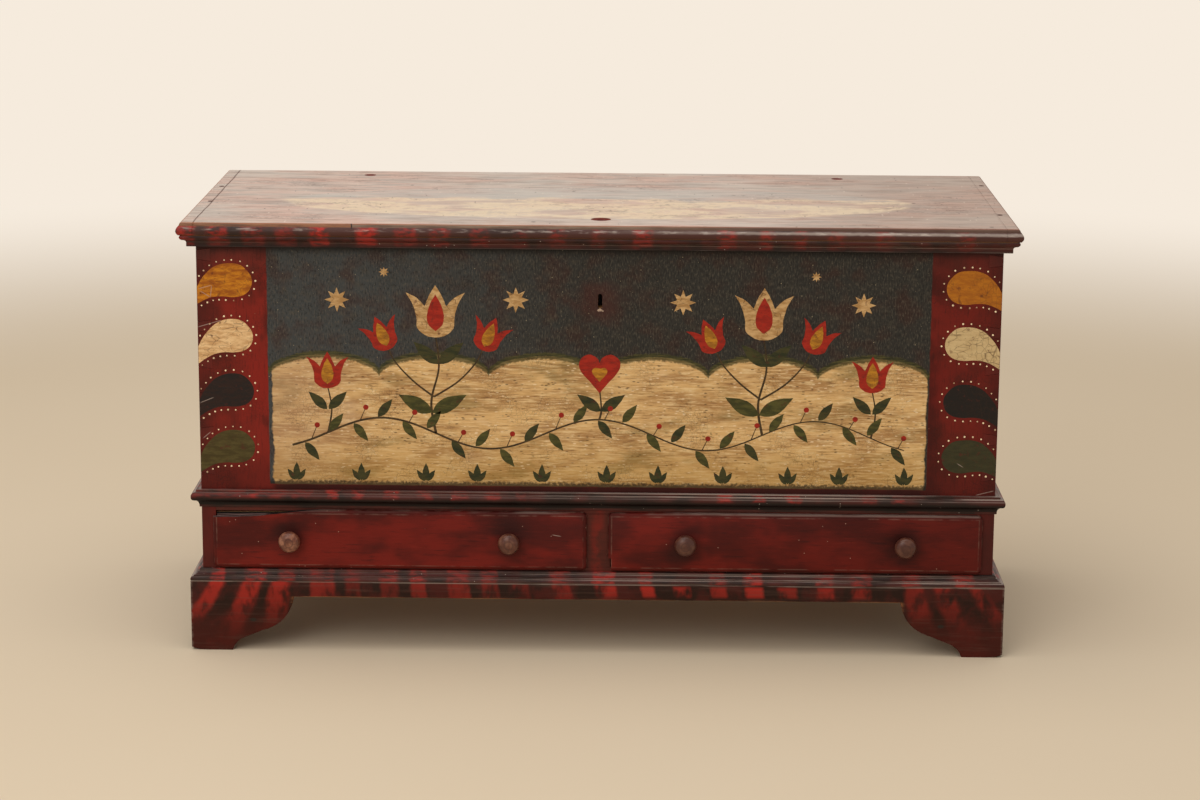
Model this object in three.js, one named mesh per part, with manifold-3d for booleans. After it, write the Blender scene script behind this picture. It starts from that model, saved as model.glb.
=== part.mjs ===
// A painted lift-top blanket chest over two lipped drawers, on a bracket base.
// Millimetres, +Z up. The front faces -Y and the origin is the bottom centre of the whole chest.

import * as THREE from 'three';
import { mergeVertices } from 'three/addons/utils/BufferGeometryUtils.js';
import Module from 'manifold-3d';

const wasm = await Module();
wasm.setup();

// Case: full height sides and back, and a front board over the drawer opening
const caseWidth = 1240;
const caseDepth = 522;
const boardThickness = 22;
const frontBoardHeight = 421.7;
const chestFloorThickness = 16;
const dadoDepth = 6;

// Drawer opening, from the base up
const lowerRailThickness = 23;
const drawerOpeningHeight = 86.5;
const upperRailThickness = 17.5;
const railDepth = 70;
const dividerWidth = 41;
const runnerWidth = 50;
const runnerThickness = 20;
const centreRunnerWidth = 100;
const guideHeight = 34;

// Corner dovetails of the case
const pinPitch = 56.3;
const firstPinDrop = 33.1;
const pinNarrow = 14;
const pinWide = 20;

// Bracket base
const plinthHeight = 113;
const plinthThickness = 22;
const plinthProjection = 18;
const plinthBandHeight = 25;
const footReach = 162;
const footWearWidth = 24;
const footWearHeight = 5;
const rearBracketLength = 130;
const rearBracketThickness = 18;
const footBlockSize = 38;
const footBlockClearance = 3;

// Mouldings
const baseMouldingHeight = 17;
const waistMouldingHeight = 28.5;
const waistMouldingProjection = 15;
const waistMouldingDrop = 11;
const lidMouldingHeight = 18.7;
const lidMouldingProjection = 22;
const lidMouldingClearance = 1.2;

// Lid
const lidThickness = 20;
const lidProjection = 27;
const lidBackOverhang = 15;
const lidEndWidth = 25.5;

// Drawers
const lipOverlap = 4;
const lipThickness = 9;
const lipSquareEdge = 3;
const lipRound = 5;
const lipFillet = 0.6;
const lipCornerRadius = 9;
const drawerFrontThickness = 13;
const drawerSideThickness = 12;
const drawerBackThickness = 12;
const drawerBottomThickness = 8;
const drawerBottomRise = 8;
const drawerGrooveDepth = 4;
const drawerSideClearance = 2;
const drawerTopClearance = 2;
const drawerSideDrop = 4;
const drawerBackDrop = 9;
const drawerBackClearance = 10;
const drawerTailLength = 9;
const drawerTailPitch = 28;
const drawerTailNarrow = 15;
const drawerTailWide = 19;
const knobSpacing = 343;
const knobDiameter = 34;
const knobProjection = 27;
const knobTenonDiameter = 12;

// Broken stretches of lip, one on each drawer
const upperBreakLength = 170;
const upperBreakDepth = 12.5;
const lowerBreakHeight = 21;

// Strap hinges
const hingeSpacing = 789;
const strapLength = 190;
const strapWidth = 38;
const strapTipWidth = 20;
const strapThickness = 3;
const barrelDiameter = 10;
const barrelClearance = 0.5;
const knuckleGap = 0.4;
const hingePinDiameter = 4.6;
const caseLeafHeight = 64;
const caseLeafScrewSpacing = 22;
const rivetFromAxis = 36;

// Lock, a little right of the middle
const lockOffset = 2;
const lockPlateWidth = 128;
const lockPlateHeight = 122;
const lockPlateThickness = 2.5;
const lockCaseWidth = 108;
const lockCaseHeight = 106;
const lockCaseDepth = 17;
const lockCaseWall = 2;
const lockCaseDrop = 8;
const keyholeWidth = 6.5;
const keyholeHeight = 21.9;
const keyholeDrop = 89.2;
const boltThickness = 5;
const boltHeight = 8;
const boltDrop = 13.7;
const boltTailLength = 40;
const boltStemWidth = 16;
const boltStemLength = 52;
const boltStemOffset = 6;
const boltNotchWidth = 8;
const boltNotchHeight = 6;
const boltShelfThickness = 4;
const boltShelfLength = 22;
const haspPlateLength = 64;
const haspPlateDepth = 34;
const haspPlateThickness = 2.5;
const stapleOffset = 16;
const stapleThickness = 3.5;
const stapleBar = 3;
const stapleClearance = 1;
const stapleSlotClearance = 1.5;

// Fixings
const jointGap = 0.3;
const screwDiameter = 4;
const screwLength = 16;
const screwHeadDiameter = 9;
const screwHeadHeight = 2;
const rivetDiameter = 6;
const rivetHeadDiameter = 16;
const rivetHeadHeight = 2.2;
const rivetTailDiameter = 11;
const rivetTailHeight = 1.5;
const hingePlugDiameter = 20;
const haspPlugDiameter = 31;
const plugPocketDepth = 5;

// How far a cut runs past the face that it opens
const cutOverrun = 2;

// Levels, from the floor up
const openingFoot = plinthHeight + lowerRailThickness;
const openingTop = openingFoot + drawerOpeningHeight;
const chestFoot = openingTop + upperRailThickness;
const caseTop = chestFoot + frontBoardHeight;
const lidFoot = caseTop + jointGap;
const lidTop = lidFoot + lidThickness;

// Half widths and depths that many pieces share. The case's front face lies at zero depth.
const half = caseWidth / 2;
const innerHalf = half - boardThickness;
const innerBack = caseDepth - boardThickness;
const lidBack = caseDepth + lidBackOverhang;

// The chest is centred front to back between the knob faces and the lid's back edge
const frontReach = jointGap + lipThickness + knobProjection;
const chest = new THREE.Group();
chest.position.y = (frontReach - lidBack) / 2;

// Paints and bare materials, by what a piece is finished with
const finishes = {
  frontPaint: { color: 0x3a3a3c, roughness: 0.55, metalness: 0 },
  redPaint: { color: 0x5e1a17, roughness: 0.5, metalness: 0 },
  edgePaint: { color: 0x33201c, roughness: 0.5, metalness: 0 },
  drawerPaint: { color: 0x5a1512, roughness: 0.48, metalness: 0 },
  lidPaint: { color: 0x8a6f62, roughness: 0.5, metalness: 0 },
  plugPaint: { color: 0x6a2a1c, roughness: 0.5, metalness: 0 },
  bareWood: { color: 0x9a7a55, roughness: 0.8, metalness: 0 },
  knobWood: { color: 0x6e4638, roughness: 0.5, metalness: 0 },
  iron: { color: 0x2e2b29, roughness: 0.6, metalness: 0.8 },
};

// Both ends of the chest, by the sign of X there
const ends = [
  { side: -1, end: 'left' },
  { side: 1, end: 'right' },
];

// Adds one named piece to the chest
function add(name, geometry, finish) {
  const mesh = new THREE.Mesh(geometry, new THREE.MeshStandardMaterial(finishes[finish]));
  mesh.name = name;
  chest.add(mesh);
}

// A closed mesh as a solid that can be cut and joined. Flat triangles, such as those at the pole
// of a turned piece, are left out.
function solid(geometry) {
  const bare = geometry.clone();
  bare.deleteAttribute('normal');
  bare.deleteAttribute('uv');
  const welded = mergeVertices(bare);
  const corners = welded.index.array;
  const kept = [];
  for (let i = 0; i < corners.length; i += 3) {
    const [a, b, c] = corners.slice(i, i + 3);
    if (a !== b && b !== c && c !== a) kept.push(a, b, c);
  }
  return new wasm.Manifold(
    new wasm.Mesh({
      numProp: 3,
      vertProperties: new Float32Array(welded.attributes.position.array),
      triVerts: new Uint32Array(kept),
    }),
  );
}

// A cut or joined solid as a mesh again
function surface(body) {
  const mesh = body.getMesh();
  const stride = mesh.numProp;
  const count = mesh.vertProperties.length / stride;
  const places = new Float32Array(count * 3);
  for (let i = 0; i < count; i += 1) {
    places.set(mesh.vertProperties.subarray(i * stride, i * stride + 3), i * 3);
  }
  const geometry = new THREE.BufferGeometry();
  geometry.setAttribute('position', new THREE.BufferAttribute(places, 3));
  geometry.setIndex(new THREE.BufferAttribute(new Uint32Array(mesh.triVerts), 1));
  geometry.computeVertexNormals();
  return geometry;
}

// One solid less a list of others, and a list of solids joined in one
const less = (body, cuts) => cuts.reduce((rest, cut) => rest.subtract(cut), body);
const joined = (bodies) => bodies.reduce((whole, body) => whole.add(body));

// A square-cornered board between two corners
function board(x0, x1, y0, y1, z0, z1) {
  const geometry = new THREE.BoxGeometry(x1 - x0, y1 - y0, z1 - z0);
  geometry.translate((x0 + x1) / 2, (y0 + y1) / 2, (z0 + z1) / 2);
  return geometry;
}

// A closed outline from its corners
function outline(points) {
  return new THREE.Shape(points.map(([u, v]) => new THREE.Vector2(u, v)));
}

// An outline sawn from a board: its two directions and its thickness are turned to three axes
const axis = (x, y, z) => new THREE.Vector3(x, y, z);
const curveSteps = 5;
function sawn(shape, thickness, axes, steps = curveSteps) {
  const options = { depth: thickness, bevelEnabled: false, curveSegments: steps };
  const geometry = new THREE.ExtrudeGeometry(shape, options);
  geometry.applyMatrix4(new THREE.Matrix4().makeBasis(...axes));
  return geometry;
}

// Outlines drawn in X and Z, in Y and Z, and in X and Y, between two faces
const frontAxes = [axis(1, 0, 0), axis(0, 0, 1), axis(0, -1, 0)];
const sideAxes = [axis(0, 1, 0), axis(0, 0, 1), axis(1, 0, 0)];
const flatAxes = [axis(1, 0, 0), axis(0, 1, 0), axis(0, 0, 1)];
const sawnFront = (shape, y0, y1) => sawn(shape, y1 - y0, frontAxes).translate(0, y1, 0);
const sawnSide = (shape, x0, x1, steps) => sawn(shape, x1 - x0, sideAxes, steps).translate(x0, 0, 0);
const sawnFlat = (shape, z0, z1) => sawn(shape, z1 - z0, flatAxes).translate(0, 0, z0);

// Directions that fixings are driven in
const rightward = axis(1, 0, 0);
const forward = axis(0, -1, 0);
const upward = axis(0, 0, 1);
const downward = axis(0, 0, -1);

// A piece turned on a lathe. Its profile holds [distance from the axis, distance along it].
const latheAxis = axis(0, 1, 0);
const turnedSides = 24;
function turned(profile, start, direction, sides = turnedSides) {
  const points = profile.map(([radius, along]) => new THREE.Vector2(radius, along));
  const geometry = new THREE.LatheGeometry(points, sides);
  geometry.applyQuaternion(new THREE.Quaternion().setFromUnitVectors(latheAxis, direction));
  geometry.translate(start.x, start.y, start.z);
  return geometry;
}

// A round bar or a round hole
const roundSides = 12;
function rod(start, direction, length, diameter, sides = roundSides) {
  const profile = [[0, 0], [diameter / 2, 0], [diameter / 2, length], [0, length]];
  return turned(profile, start, direction, sides);
}

// Round-headed iron screws, and the holes that they are driven in. The seat is where the head rests.
const screwDomeShare = 0.72;
const screwDomeHeightShare = 0.75;
const screwSides = 8;
function screw(seat, into) {
  const head = screwHeadDiameter / 2;
  const profile = [
    [0, -screwHeadHeight],
    [head * screwDomeShare, -screwHeadHeight * screwDomeHeightShare],
    [head, 0],
    [screwDiameter / 2, 0],
    [screwDiameter / 2, screwLength],
    [0, screwLength],
  ];
  return solid(turned(profile, seat, into, screwSides));
}
function screwHole(seat, into) {
  const start = seat.clone().addScaledVector(into, -cutOverrun);
  const length = cutOverrun + screwLength + jointGap;
  return solid(rod(start, into, length, screwDiameter + 4 * jointGap, screwSides));
}

// Moulding sections. Each step is a straight or curved stretch, in shares of the moulding's
// projection and height, from its foot upwards.
const waistSectionShares = [
  { to: [0.2, 0] },
  { to: [0.2, 0.08] },
  { bend: [0.24, 0.34], to: [0.6, 0.4] },
  { bend: [1, 0.42], to: [1, 0.645] },
  { bend: [1, 0.86], to: [0.62, 0.87] },
  { to: [0.5, 0.87] },
  { to: [0.5, 1] },
  { to: [0, 1] },
];
const baseSectionShares = [
  { to: [0.94, 0] },
  { bend: [1.02, 0.06], to: [1, 0.16] },
  { bend: [0.98, 0.35], to: [0.8, 0.36] },
  { to: [0.74, 0.36] },
  { to: [0.74, 0.46] },
  { bend: [0.42, 0.48], to: [0.38, 0.72] },
  { to: [0.29, 0.72] },
  { to: [0.29, 0.84] },
  { bend: [0.26, 1], to: [0.12, 1] },
  { to: [0, 1] },
];
const lidMouldingSectionShares = [
  { to: [0.58, 0] },
  { to: [0.58, 0.36] },
  { bend: [0.62, 0.54], to: [0.84, 0.57] },
  { bend: [1.14, 0.76], to: [0.94, 1] },
  { to: [0, 1] },
];
const lidEdgeShares = [
  { to: [0.87, 0] },
  { bend: [1.14, 0.34], to: [0.86, 0.72] },
  { to: [0.81, 0.74] },
  { to: [0.81, 0.8] },
  { bend: [0.8, 0.97], to: [0.65, 1] },
];

// Draws such steps on a path, from a start that lies a little way out
function drawSteps(path, shares, projection, height, foot, inset) {
  const out = ([share]) => Math.max(share * projection, inset);
  const rise = ([, share]) => foot + share * height;
  path.moveTo(inset, foot);
  for (const { bend, to } of shares) {
    if (bend) path.quadraticCurveTo(out(bend), rise(bend), out(to), rise(to));
    else path.lineTo(out(to), rise(to));
  }
  return path;
}
const section = (shares, projection, height, foot, inset = 0) =>
  drawSteps(new THREE.Shape(), shares, projection, height, foot, inset);

// A length of moulding across the front, mitred at both corners
const frontRunAxes = [axis(0, -1, 0), axis(0, 0, 1), axis(-1, 0, 0)];
function frontRun(shape) {
  const geometry = sawn(shape, caseWidth, frontRunAxes);
  const places = geometry.attributes.position;
  for (let i = 0; i < places.count; i += 1) {
    const reach = half - places.getY(i) - jointGap / 2;
    places.setX(i, places.getX(i) < -half ? -reach : reach);
  }
  return geometry;
}

// A length of moulding down one side, mitred at the front corner and square at the back
function sideRun(shape, side, back) {
  const geometry = sawn(shape, caseDepth, [axis(side, 0, 0), axis(0, 0, 1), axis(0, -side, 0)]);
  const places = geometry.attributes.position;
  for (let i = 0; i < places.count; i += 1) {
    const far = Math.abs(places.getY(i)) > caseDepth / 2;
    const out = side * places.getX(i);
    const atFront = far === side > 0;
    places.setY(i, atFront ? jointGap / 2 - out : back);
    places.setX(i, side * (half + out));
  }
  return geometry;
}

function addMoulding(name, shape, back, finish) {
  add(`${name}_front`, frontRun(shape), finish);
  for (const { side, end } of ends) add(`${name}_${end}`, sideRun(shape, side, back), finish);
}

// Dovetail pins stand on the front and back edges of the side boards. Each fills a socket in the
// end of the front or back board and shows there as a small wedge of end grain.
function pinLevels(foot) {
  const levels = [];
  for (let z = caseTop - firstPinDrop; z - pinWide > foot; z -= pinPitch) levels.push(z);
  return levels;
}
function pin(side, z, y0, y1) {
  return outlineSolid(y0, y1, [
    [side * half, z - pinNarrow / 2],
    [side * innerHalf, z - pinWide / 2],
    [side * innerHalf, z + pinWide / 2],
    [side * half, z + pinNarrow / 2],
  ]);
}
function outlineSolid(y0, y1, points) {
  return solid(sawnFront(outline(points), y0, y1));
}

// The two ends of a board with a socket for each pin, as one outline from its foot to its top
function socketedOutline(foot) {
  const corners = [[half, foot]];
  for (const z of pinLevels(foot).reverse()) {
    corners.push(
      [half, z - pinNarrow / 2 - jointGap],
      [innerHalf, z - pinWide / 2 - jointGap],
      [innerHalf, z + pinWide / 2 + jointGap],
      [half, z + pinNarrow / 2 + jointGap],
    );
  }
  corners.push([half, caseTop]);
  const mirrored = corners.map(([x, z]) => [-x, z]).reverse();
  return outline([...corners, ...mirrored]);
}

// Side boards, each with its pins and the groove that the chest floor is housed in
const sideOutline = outline([
  [0, plinthHeight],
  [innerBack, plinthHeight],
  [innerBack, caseTop],
  [boardThickness, caseTop],
  [boardThickness, chestFoot],
  [0, chestFoot],
]);
for (const { side, end } of ends) {
  const outer = side * half;
  const inner = side * innerHalf;
  const groove = side * (innerHalf + dadoDepth);
  const rough = solid(sawnSide(sideOutline, Math.min(inner, outer), Math.max(inner, outer)));
  const frontPins = pinLevels(chestFoot).map((z) => pin(side, z, 0, boardThickness + cutOverrun));
  const backPins = pinLevels(plinthHeight).map((z) => pin(side, z, innerBack - cutOverrun, caseDepth));
  const dado = solid(
    board(
      Math.min(groove, inner - side * cutOverrun),
      Math.max(groove, inner - side * cutOverrun),
      boardThickness - jointGap,
      innerBack + jointGap,
      chestFoot,
      chestFoot + chestFloorThickness + jointGap,
    ),
  );
  add(`side_board_${end}`, surface(joined([rough, ...frontPins, ...backPins]).subtract(dado)), 'redPaint');
}

// Keyhole through the front board and the lock plate behind it: a slot with a round top
const keyholeTop = caseTop - keyholeDrop;
const lockFace = boardThickness + lockPlateThickness;
function keyhole(y0, y1) {
  const radius = keyholeWidth / 2;
  const shape = new THREE.Shape();
  shape.moveTo(lockOffset - radius, keyholeTop - keyholeHeight);
  shape.lineTo(lockOffset + radius, keyholeTop - keyholeHeight);
  shape.absarc(lockOffset, keyholeTop - radius, radius, 0, Math.PI, false);
  return solid(sawnFront(shape, y0, y1));
}

// Where the lock plate and the two case leaves are screwed on
const lockPlateTop = caseTop - jointGap;
const lockScrewInset = (lockPlateWidth - lockCaseWidth) / 4;
const lockScrewSeats = [-1, 1].flatMap((side) =>
  [lockPlateTop - lockScrewInset * 2, lockPlateTop - lockPlateHeight + lockScrewInset * 2].map((z) =>
    axis(lockOffset + side * (lockPlateWidth / 2 - lockScrewInset), lockFace, z),
  ),
);
const hingeY = caseDepth + barrelDiameter / 2 + barrelClearance;
const hingeZ = lidFoot - barrelDiameter / 2 - barrelClearance;
const caseLeafFoot = hingeZ - caseLeafHeight;
const caseLeafScrewSeats = ends.map(({ side }) =>
  [-1, 1].flatMap((edge) =>
    [caseLeafScrewSpacing / 2, (caseLeafScrewSpacing * 3) / 2].map((rise) =>
      axis(
        (side * hingeSpacing + edge * caseLeafScrewSpacing) / 2,
        caseDepth + strapThickness,
        caseLeafFoot + rise,
      ),
    ),
  ),
);

// Front board, with the keyhole and its foot on the upper rail
const frontCuts = [
  keyhole(-cutOverrun, boardThickness + cutOverrun),
  ...lockScrewSeats.map((seat) => screwHole(seat, forward)),
];
const frontRough = solid(sawnFront(socketedOutline(chestFoot), 0, boardThickness));
add('front_board', surface(less(frontRough, frontCuts)), 'frontPaint');

// Back board, with a notch in its top edge for each hinge strap
const strapFoot = lidFoot - strapThickness;
const backCuts = [
  ...caseLeafScrewSeats.flat().map((seat) => screwHole(seat, forward)),
  ...ends.map(({ side }) => {
    const middle = (side * hingeSpacing) / 2;
    const reach = strapWidth / 2 + jointGap;
    const [y0, y1] = [innerBack - cutOverrun, caseDepth + cutOverrun];
    return solid(board(middle - reach, middle + reach, y0, y1, strapFoot - jointGap, lidTop));
  }),
];
const backRough = solid(sawnFront(socketedOutline(plinthHeight), innerBack, caseDepth));
add('back_board', surface(less(backRough, backCuts)), 'redPaint');

// Floor of the chest, housed in both side boards and resting on the upper rail
const floorHalf = innerHalf + dadoDepth - jointGap;
add(
  'chest_floor',
  board(-floorHalf, floorHalf, boardThickness, innerBack, chestFoot, chestFoot + chestFloorThickness),
  'bareWood',
);

// Rails over and under the drawers, and the divider between them
add('drawer_upper_rail', board(-innerHalf, innerHalf, 0, railDepth, openingTop, chestFoot), 'redPaint');
add('drawer_lower_rail', board(-innerHalf, innerHalf, 0, railDepth, plinthHeight, openingFoot), 'redPaint');
const dividerHalf = dividerWidth / 2;
add(
  'drawer_divider',
  board(-dividerHalf, dividerHalf, 0, boardThickness, openingFoot, openingTop),
  'redPaint',
);

// Runners that carry the drawers. The centre one has a guide that keeps the drawers apart.
const runnerFoot = openingFoot - runnerThickness;
for (const { side, end } of ends) {
  const edges = [side * innerHalf, side * (innerHalf - runnerWidth)].sort((a, b) => a - b);
  add(`side_runner_${end}`, board(...edges, railDepth, innerBack, runnerFoot, openingFoot), 'bareWood');
}
const centreHalf = centreRunnerWidth / 2;
const guideTop = openingFoot + guideHeight;
add(
  'centre_runner',
  surface(
    joined([
      solid(board(-centreHalf, centreHalf, railDepth, innerBack, runnerFoot, openingFoot)),
      solid(board(-dividerHalf, dividerHalf, railDepth, innerBack, runnerFoot, guideTop)),
      solid(board(-dividerHalf, dividerHalf, boardThickness, innerBack, openingFoot, guideTop)),
    ]),
  ),
  'bareWood',
);

// Bracket feet are sawn in the plinth boards. The edge runs from a foot's worn outer corner along
// the floor, up a small hollow, a slant and a round, to the underside of the band.
const footEdgeShares = [
  { to: [0.398, 0] },
  { bend: [0.43, 0.18], to: [0.52, 0.24] },
  { to: [0.69, 0.37] },
  { bend: [0.96, 0.5], to: [1, 1] },
];
const bandFoot = plinthHeight - plinthBandHeight;
function footEdge(wearWidth, wearHeight) {
  const path = new THREE.Path();
  path.moveTo(0, wearHeight);
  if (wearHeight > 0) path.lineTo(wearWidth, 0);
  for (const { bend, to } of footEdgeShares) {
    const [u, v] = [to[0] * footReach, to[1] * bandFoot];
    if (bend) path.quadraticCurveTo(bend[0] * footReach, bend[1] * bandFoot, u, v);
    else path.lineTo(u, v);
  }
  return path.getPoints(curveSteps);
}

const plinthHalf = half + plinthProjection;
const wornEdge = footEdge(footWearWidth, footWearHeight);
const plinthFrontOutline = outline([
  [-plinthHalf, plinthHeight],
  ...wornEdge.map((point) => [point.x - plinthHalf, point.y]),
  ...wornEdge.map((point) => [plinthHalf - point.x, point.y]).reverse(),
  [plinthHalf, plinthHeight],
]);
const plinthInnerY = plinthThickness - plinthProjection;
const plinthFront = sawnFront(plinthFrontOutline, -plinthProjection, plinthInnerY);
const frontPlaces = plinthFront.attributes.position;
for (let i = 0; i < frontPlaces.count; i += 1) {
  const reach = half - frontPlaces.getY(i) - jointGap / 2;
  frontPlaces.setX(i, THREE.MathUtils.clamp(frontPlaces.getX(i), -reach, reach));
}
add('plinth_front', plinthFront, 'edgePaint');

const squareEdge = footEdge(0, 0);
const plinthSideOutline = outline([
  [-plinthProjection, plinthHeight],
  ...wornEdge.map((point) => [point.x - plinthProjection, point.y]),
  ...squareEdge.map((point) => [caseDepth - point.x, point.y]).reverse(),
  [caseDepth, plinthHeight],
]);
const plinthInnerHalf = plinthHalf - plinthThickness;
for (const { side, end } of ends) {
  const faces = [side * plinthHalf, side * plinthInnerHalf].sort((a, b) => a - b);
  const plinthSide = sawnSide(plinthSideOutline, ...faces);
  const places = plinthSide.attributes.position;
  for (let i = 0; i < places.count; i += 1) {
    const mitre = half - Math.abs(places.getX(i)) + jointGap / 2;
    places.setY(i, Math.max(places.getY(i), mitre));
  }
  add(`plinth_${end}`, plinthSide, 'edgePaint');
}

// Plain brackets across the back of the rear feet, in shares of their length and height
const rearBracketShares = [
  [0, 0],
  [0.42, 0],
  [0.52, 0.3],
  [0.78, 0.52],
  [1, 0.86],
  [1, 1],
  [0, 1],
];
const rearBracketFace = caseDepth - rearBracketThickness;
for (const { side, end } of ends) {
  const corners = rearBracketShares.map(([along, rise]) => [
    side * (plinthInnerHalf - along * rearBracketLength),
    rise * plinthHeight,
  ]);
  add(`rear_foot_bracket_${end}`, sawnFront(outline(corners), rearBracketFace, caseDepth), 'bareWood');
}

// Glue blocks in the corners of the four feet
const blockDepths = [
  [plinthInnerY, plinthInnerY + footBlockSize],
  [rearBracketFace - footBlockSize, rearBracketFace],
];
for (const { side, end } of ends) {
  const edges = [side * plinthInnerHalf, side * (plinthInnerHalf - footBlockSize)].sort((a, b) => a - b);
  for (const [index, place] of ['front', 'rear'].entries()) {
    const block = board(...edges, ...blockDepths[index], footBlockClearance, plinthHeight);
    add(`foot_block_${place}_${end}`, block, 'bareWood');
  }
}

// Mouldings round the case: over the base, and over the joint at the chest floor
addMoulding(
  'base_moulding',
  section(baseSectionShares, plinthProjection, baseMouldingHeight, plinthHeight),
  caseDepth,
  'edgePaint',
);
addMoulding(
  'waist_moulding',
  section(
    waistSectionShares,
    waistMouldingProjection,
    waistMouldingHeight,
    chestFoot - waistMouldingDrop,
  ),
  caseDepth,
  'edgePaint',
);

// Lid board and its end strips, with one moulded edge worked round the front and both ends
const lidEdge = drawSteps(
  new THREE.Path(),
  lidEdgeShares,
  lidProjection,
  lidThickness,
  lidFoot,
  0,
)
  .getPoints(curveSteps)
  .slice(1);
const lidAlong = outline([
  [lidBack, lidFoot],
  ...lidEdge.map((point) => [-point.x, point.y]),
  [lidBack, lidTop],
]);
const lidAcross = outline([
  ...lidEdge.map((point) => [half + point.x, point.y]),
  ...lidEdge.map((point) => [-half - point.x, point.y]).reverse(),
]);
const lidSeam = half + lidProjection - lidEndWidth;
const lidReach = half + lidProjection + cutOverrun;
const lidSlab = solid(sawnFront(lidAcross, -lidProjection - cutOverrun, lidBack + cutOverrun));
for (const { side, end } of ends) {
  const edges = [side * (lidSeam + jointGap / 2), side * lidReach].sort((a, b) => a - b);
  const strip = solid(sawnSide(lidAlong, ...edges)).intersect(lidSlab);
  add(`lid_end_${end}`, surface(strip), 'lidPaint');
}

// Lid moulding, fixed under the edge so that it hangs round the top of the case
addMoulding(
  'lid_moulding',
  section(
    lidMouldingSectionShares,
    lidMouldingProjection,
    lidMouldingHeight,
    lidFoot - lidMouldingHeight,
    lidMouldingClearance,
  ),
  lidBack,
  'edgePaint',
);

// A rivet through the lid holds each hinge strap and the lock strike, and is peened fast in it. Its
// head lies in a pocket in the top, under a round plug.
const pocketFloor = lidTop - plugPocketDepth;
const haspFoot = lidFoot - haspPlateThickness;
const strikeFront = lockFace + stapleClearance;
const strikeY = strikeFront + haspPlateDepth / 2;
const strikeRivet = {
  place: 'front',
  x: lockOffset,
  y: strikeY,
  foot: haspFoot,
  plug: haspPlugDiameter,
};
const strapRivets = ends.map(({ side, end }) => ({
  place: end,
  x: (side * hingeSpacing) / 2,
  y: hingeY - rivetFromAxis,
  foot: strapFoot,
  plug: hingePlugDiameter,
}));
const rivets = [...strapRivets, strikeRivet];
const rivetTailShare = 0.6;
function rivet({ x, y, foot }) {
  const shank = rivetHeadHeight + pocketFloor - foot;
  const profile = [
    [0, 0],
    [rivetHeadDiameter / 2, 0],
    [rivetHeadDiameter / 2, rivetHeadHeight],
    [rivetDiameter / 2, rivetHeadHeight],
    [rivetDiameter / 2, shank],
    [rivetTailDiameter / 2, shank],
    [(rivetTailDiameter / 2) * rivetTailShare, shank + rivetTailHeight],
    [0, shank + rivetTailHeight],
  ];
  return solid(turned(profile, axis(x, y, pocketFloor + rivetHeadHeight), downward, roundSides));
}
function rivetHole({ x, y, foot }) {
  const start = axis(x, y, foot - cutOverrun);
  return solid(rod(start, upward, lidTop - foot, rivetDiameter + 4 * jointGap));
}
function plug({ x, y, plug: diameter }) {
  const start = axis(x, y, pocketFloor + rivetHeadHeight + jointGap);
  const thickness = plugPocketDepth - rivetHeadHeight - 2 * jointGap;
  return surface(solid(rod(start, upward, thickness, diameter - 2 * jointGap, turnedSides)));
}
function plugPocket({ x, y, plug: diameter }) {
  return solid(rod(axis(x, y, pocketFloor), upward, plugPocketDepth + cutOverrun, diameter, turnedSides));
}
for (const fixed of rivets) add(`lid_plug_${fixed.place}`, plug(fixed), 'plugPaint');

// Hinge straps on the lid's underside, with their screws and rivets. Each has two outer knuckles
// behind the case.
const strapScrewShares = [0.42, 0.65, 0.88];
const strapShoulderShare = 0.3;
const strapScrewSeats = ends.map(({ side }) =>
  strapScrewShares.map((share) =>
    axis((side * hingeSpacing) / 2, hingeY - share * strapLength, strapFoot),
  ),
);
const knuckleWidth = (strapWidth - 2 * knuckleGap) / 3;
const knuckleSteps = 8;
function knuckle(x0, x1) {
  const shape = new THREE.Shape();
  shape.absarc(hingeY, hingeZ, barrelDiameter / 2, 0, 2 * Math.PI, false);
  const bore = new THREE.Path();
  bore.absarc(hingeY, hingeZ, hingePinDiameter / 2 + jointGap, 0, 2 * Math.PI, true);
  shape.holes.push(bore);
  return solid(sawnSide(shape, x0, x1, knuckleSteps * 2));
}
for (const [index, { side, end }] of ends.entries()) {
  const middle = (side * hingeSpacing) / 2;
  const edge = strapWidth / 2;
  const tip = strapTipWidth / 2;
  const notch = knuckleWidth / 2 + knuckleGap;
  const notchY = hingeY - barrelDiameter / 2 - jointGap;
  const shoulderY = hingeY - strapShoulderShare * strapLength;
  const tipY = hingeY - strapLength;
  const shape = new THREE.Shape();
  shape.moveTo(middle - edge, hingeY);
  shape.lineTo(middle - edge, shoulderY);
  shape.lineTo(middle - tip, tipY + tip);
  shape.quadraticCurveTo(middle - tip, tipY, middle, tipY);
  shape.quadraticCurveTo(middle + tip, tipY, middle + tip, tipY + tip);
  shape.lineTo(middle + edge, shoulderY);
  shape.lineTo(middle + edge, hingeY);
  shape.lineTo(middle + notch, hingeY);
  shape.lineTo(middle + notch, notchY);
  shape.lineTo(middle - notch, notchY);
  shape.lineTo(middle - notch, hingeY);
  const strap = joined([
    solid(sawnFlat(shape, strapFoot, lidFoot)),
    knuckle(middle - edge, middle - notch),
    knuckle(middle + notch, middle + edge),
    rivet(strapRivets[index]),
    ...strapScrewSeats[index].map((seat) => screw(seat, upward)),
  ]);
  add(`hinge_strap_${end}`, surface(strap), 'iron');
}

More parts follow.
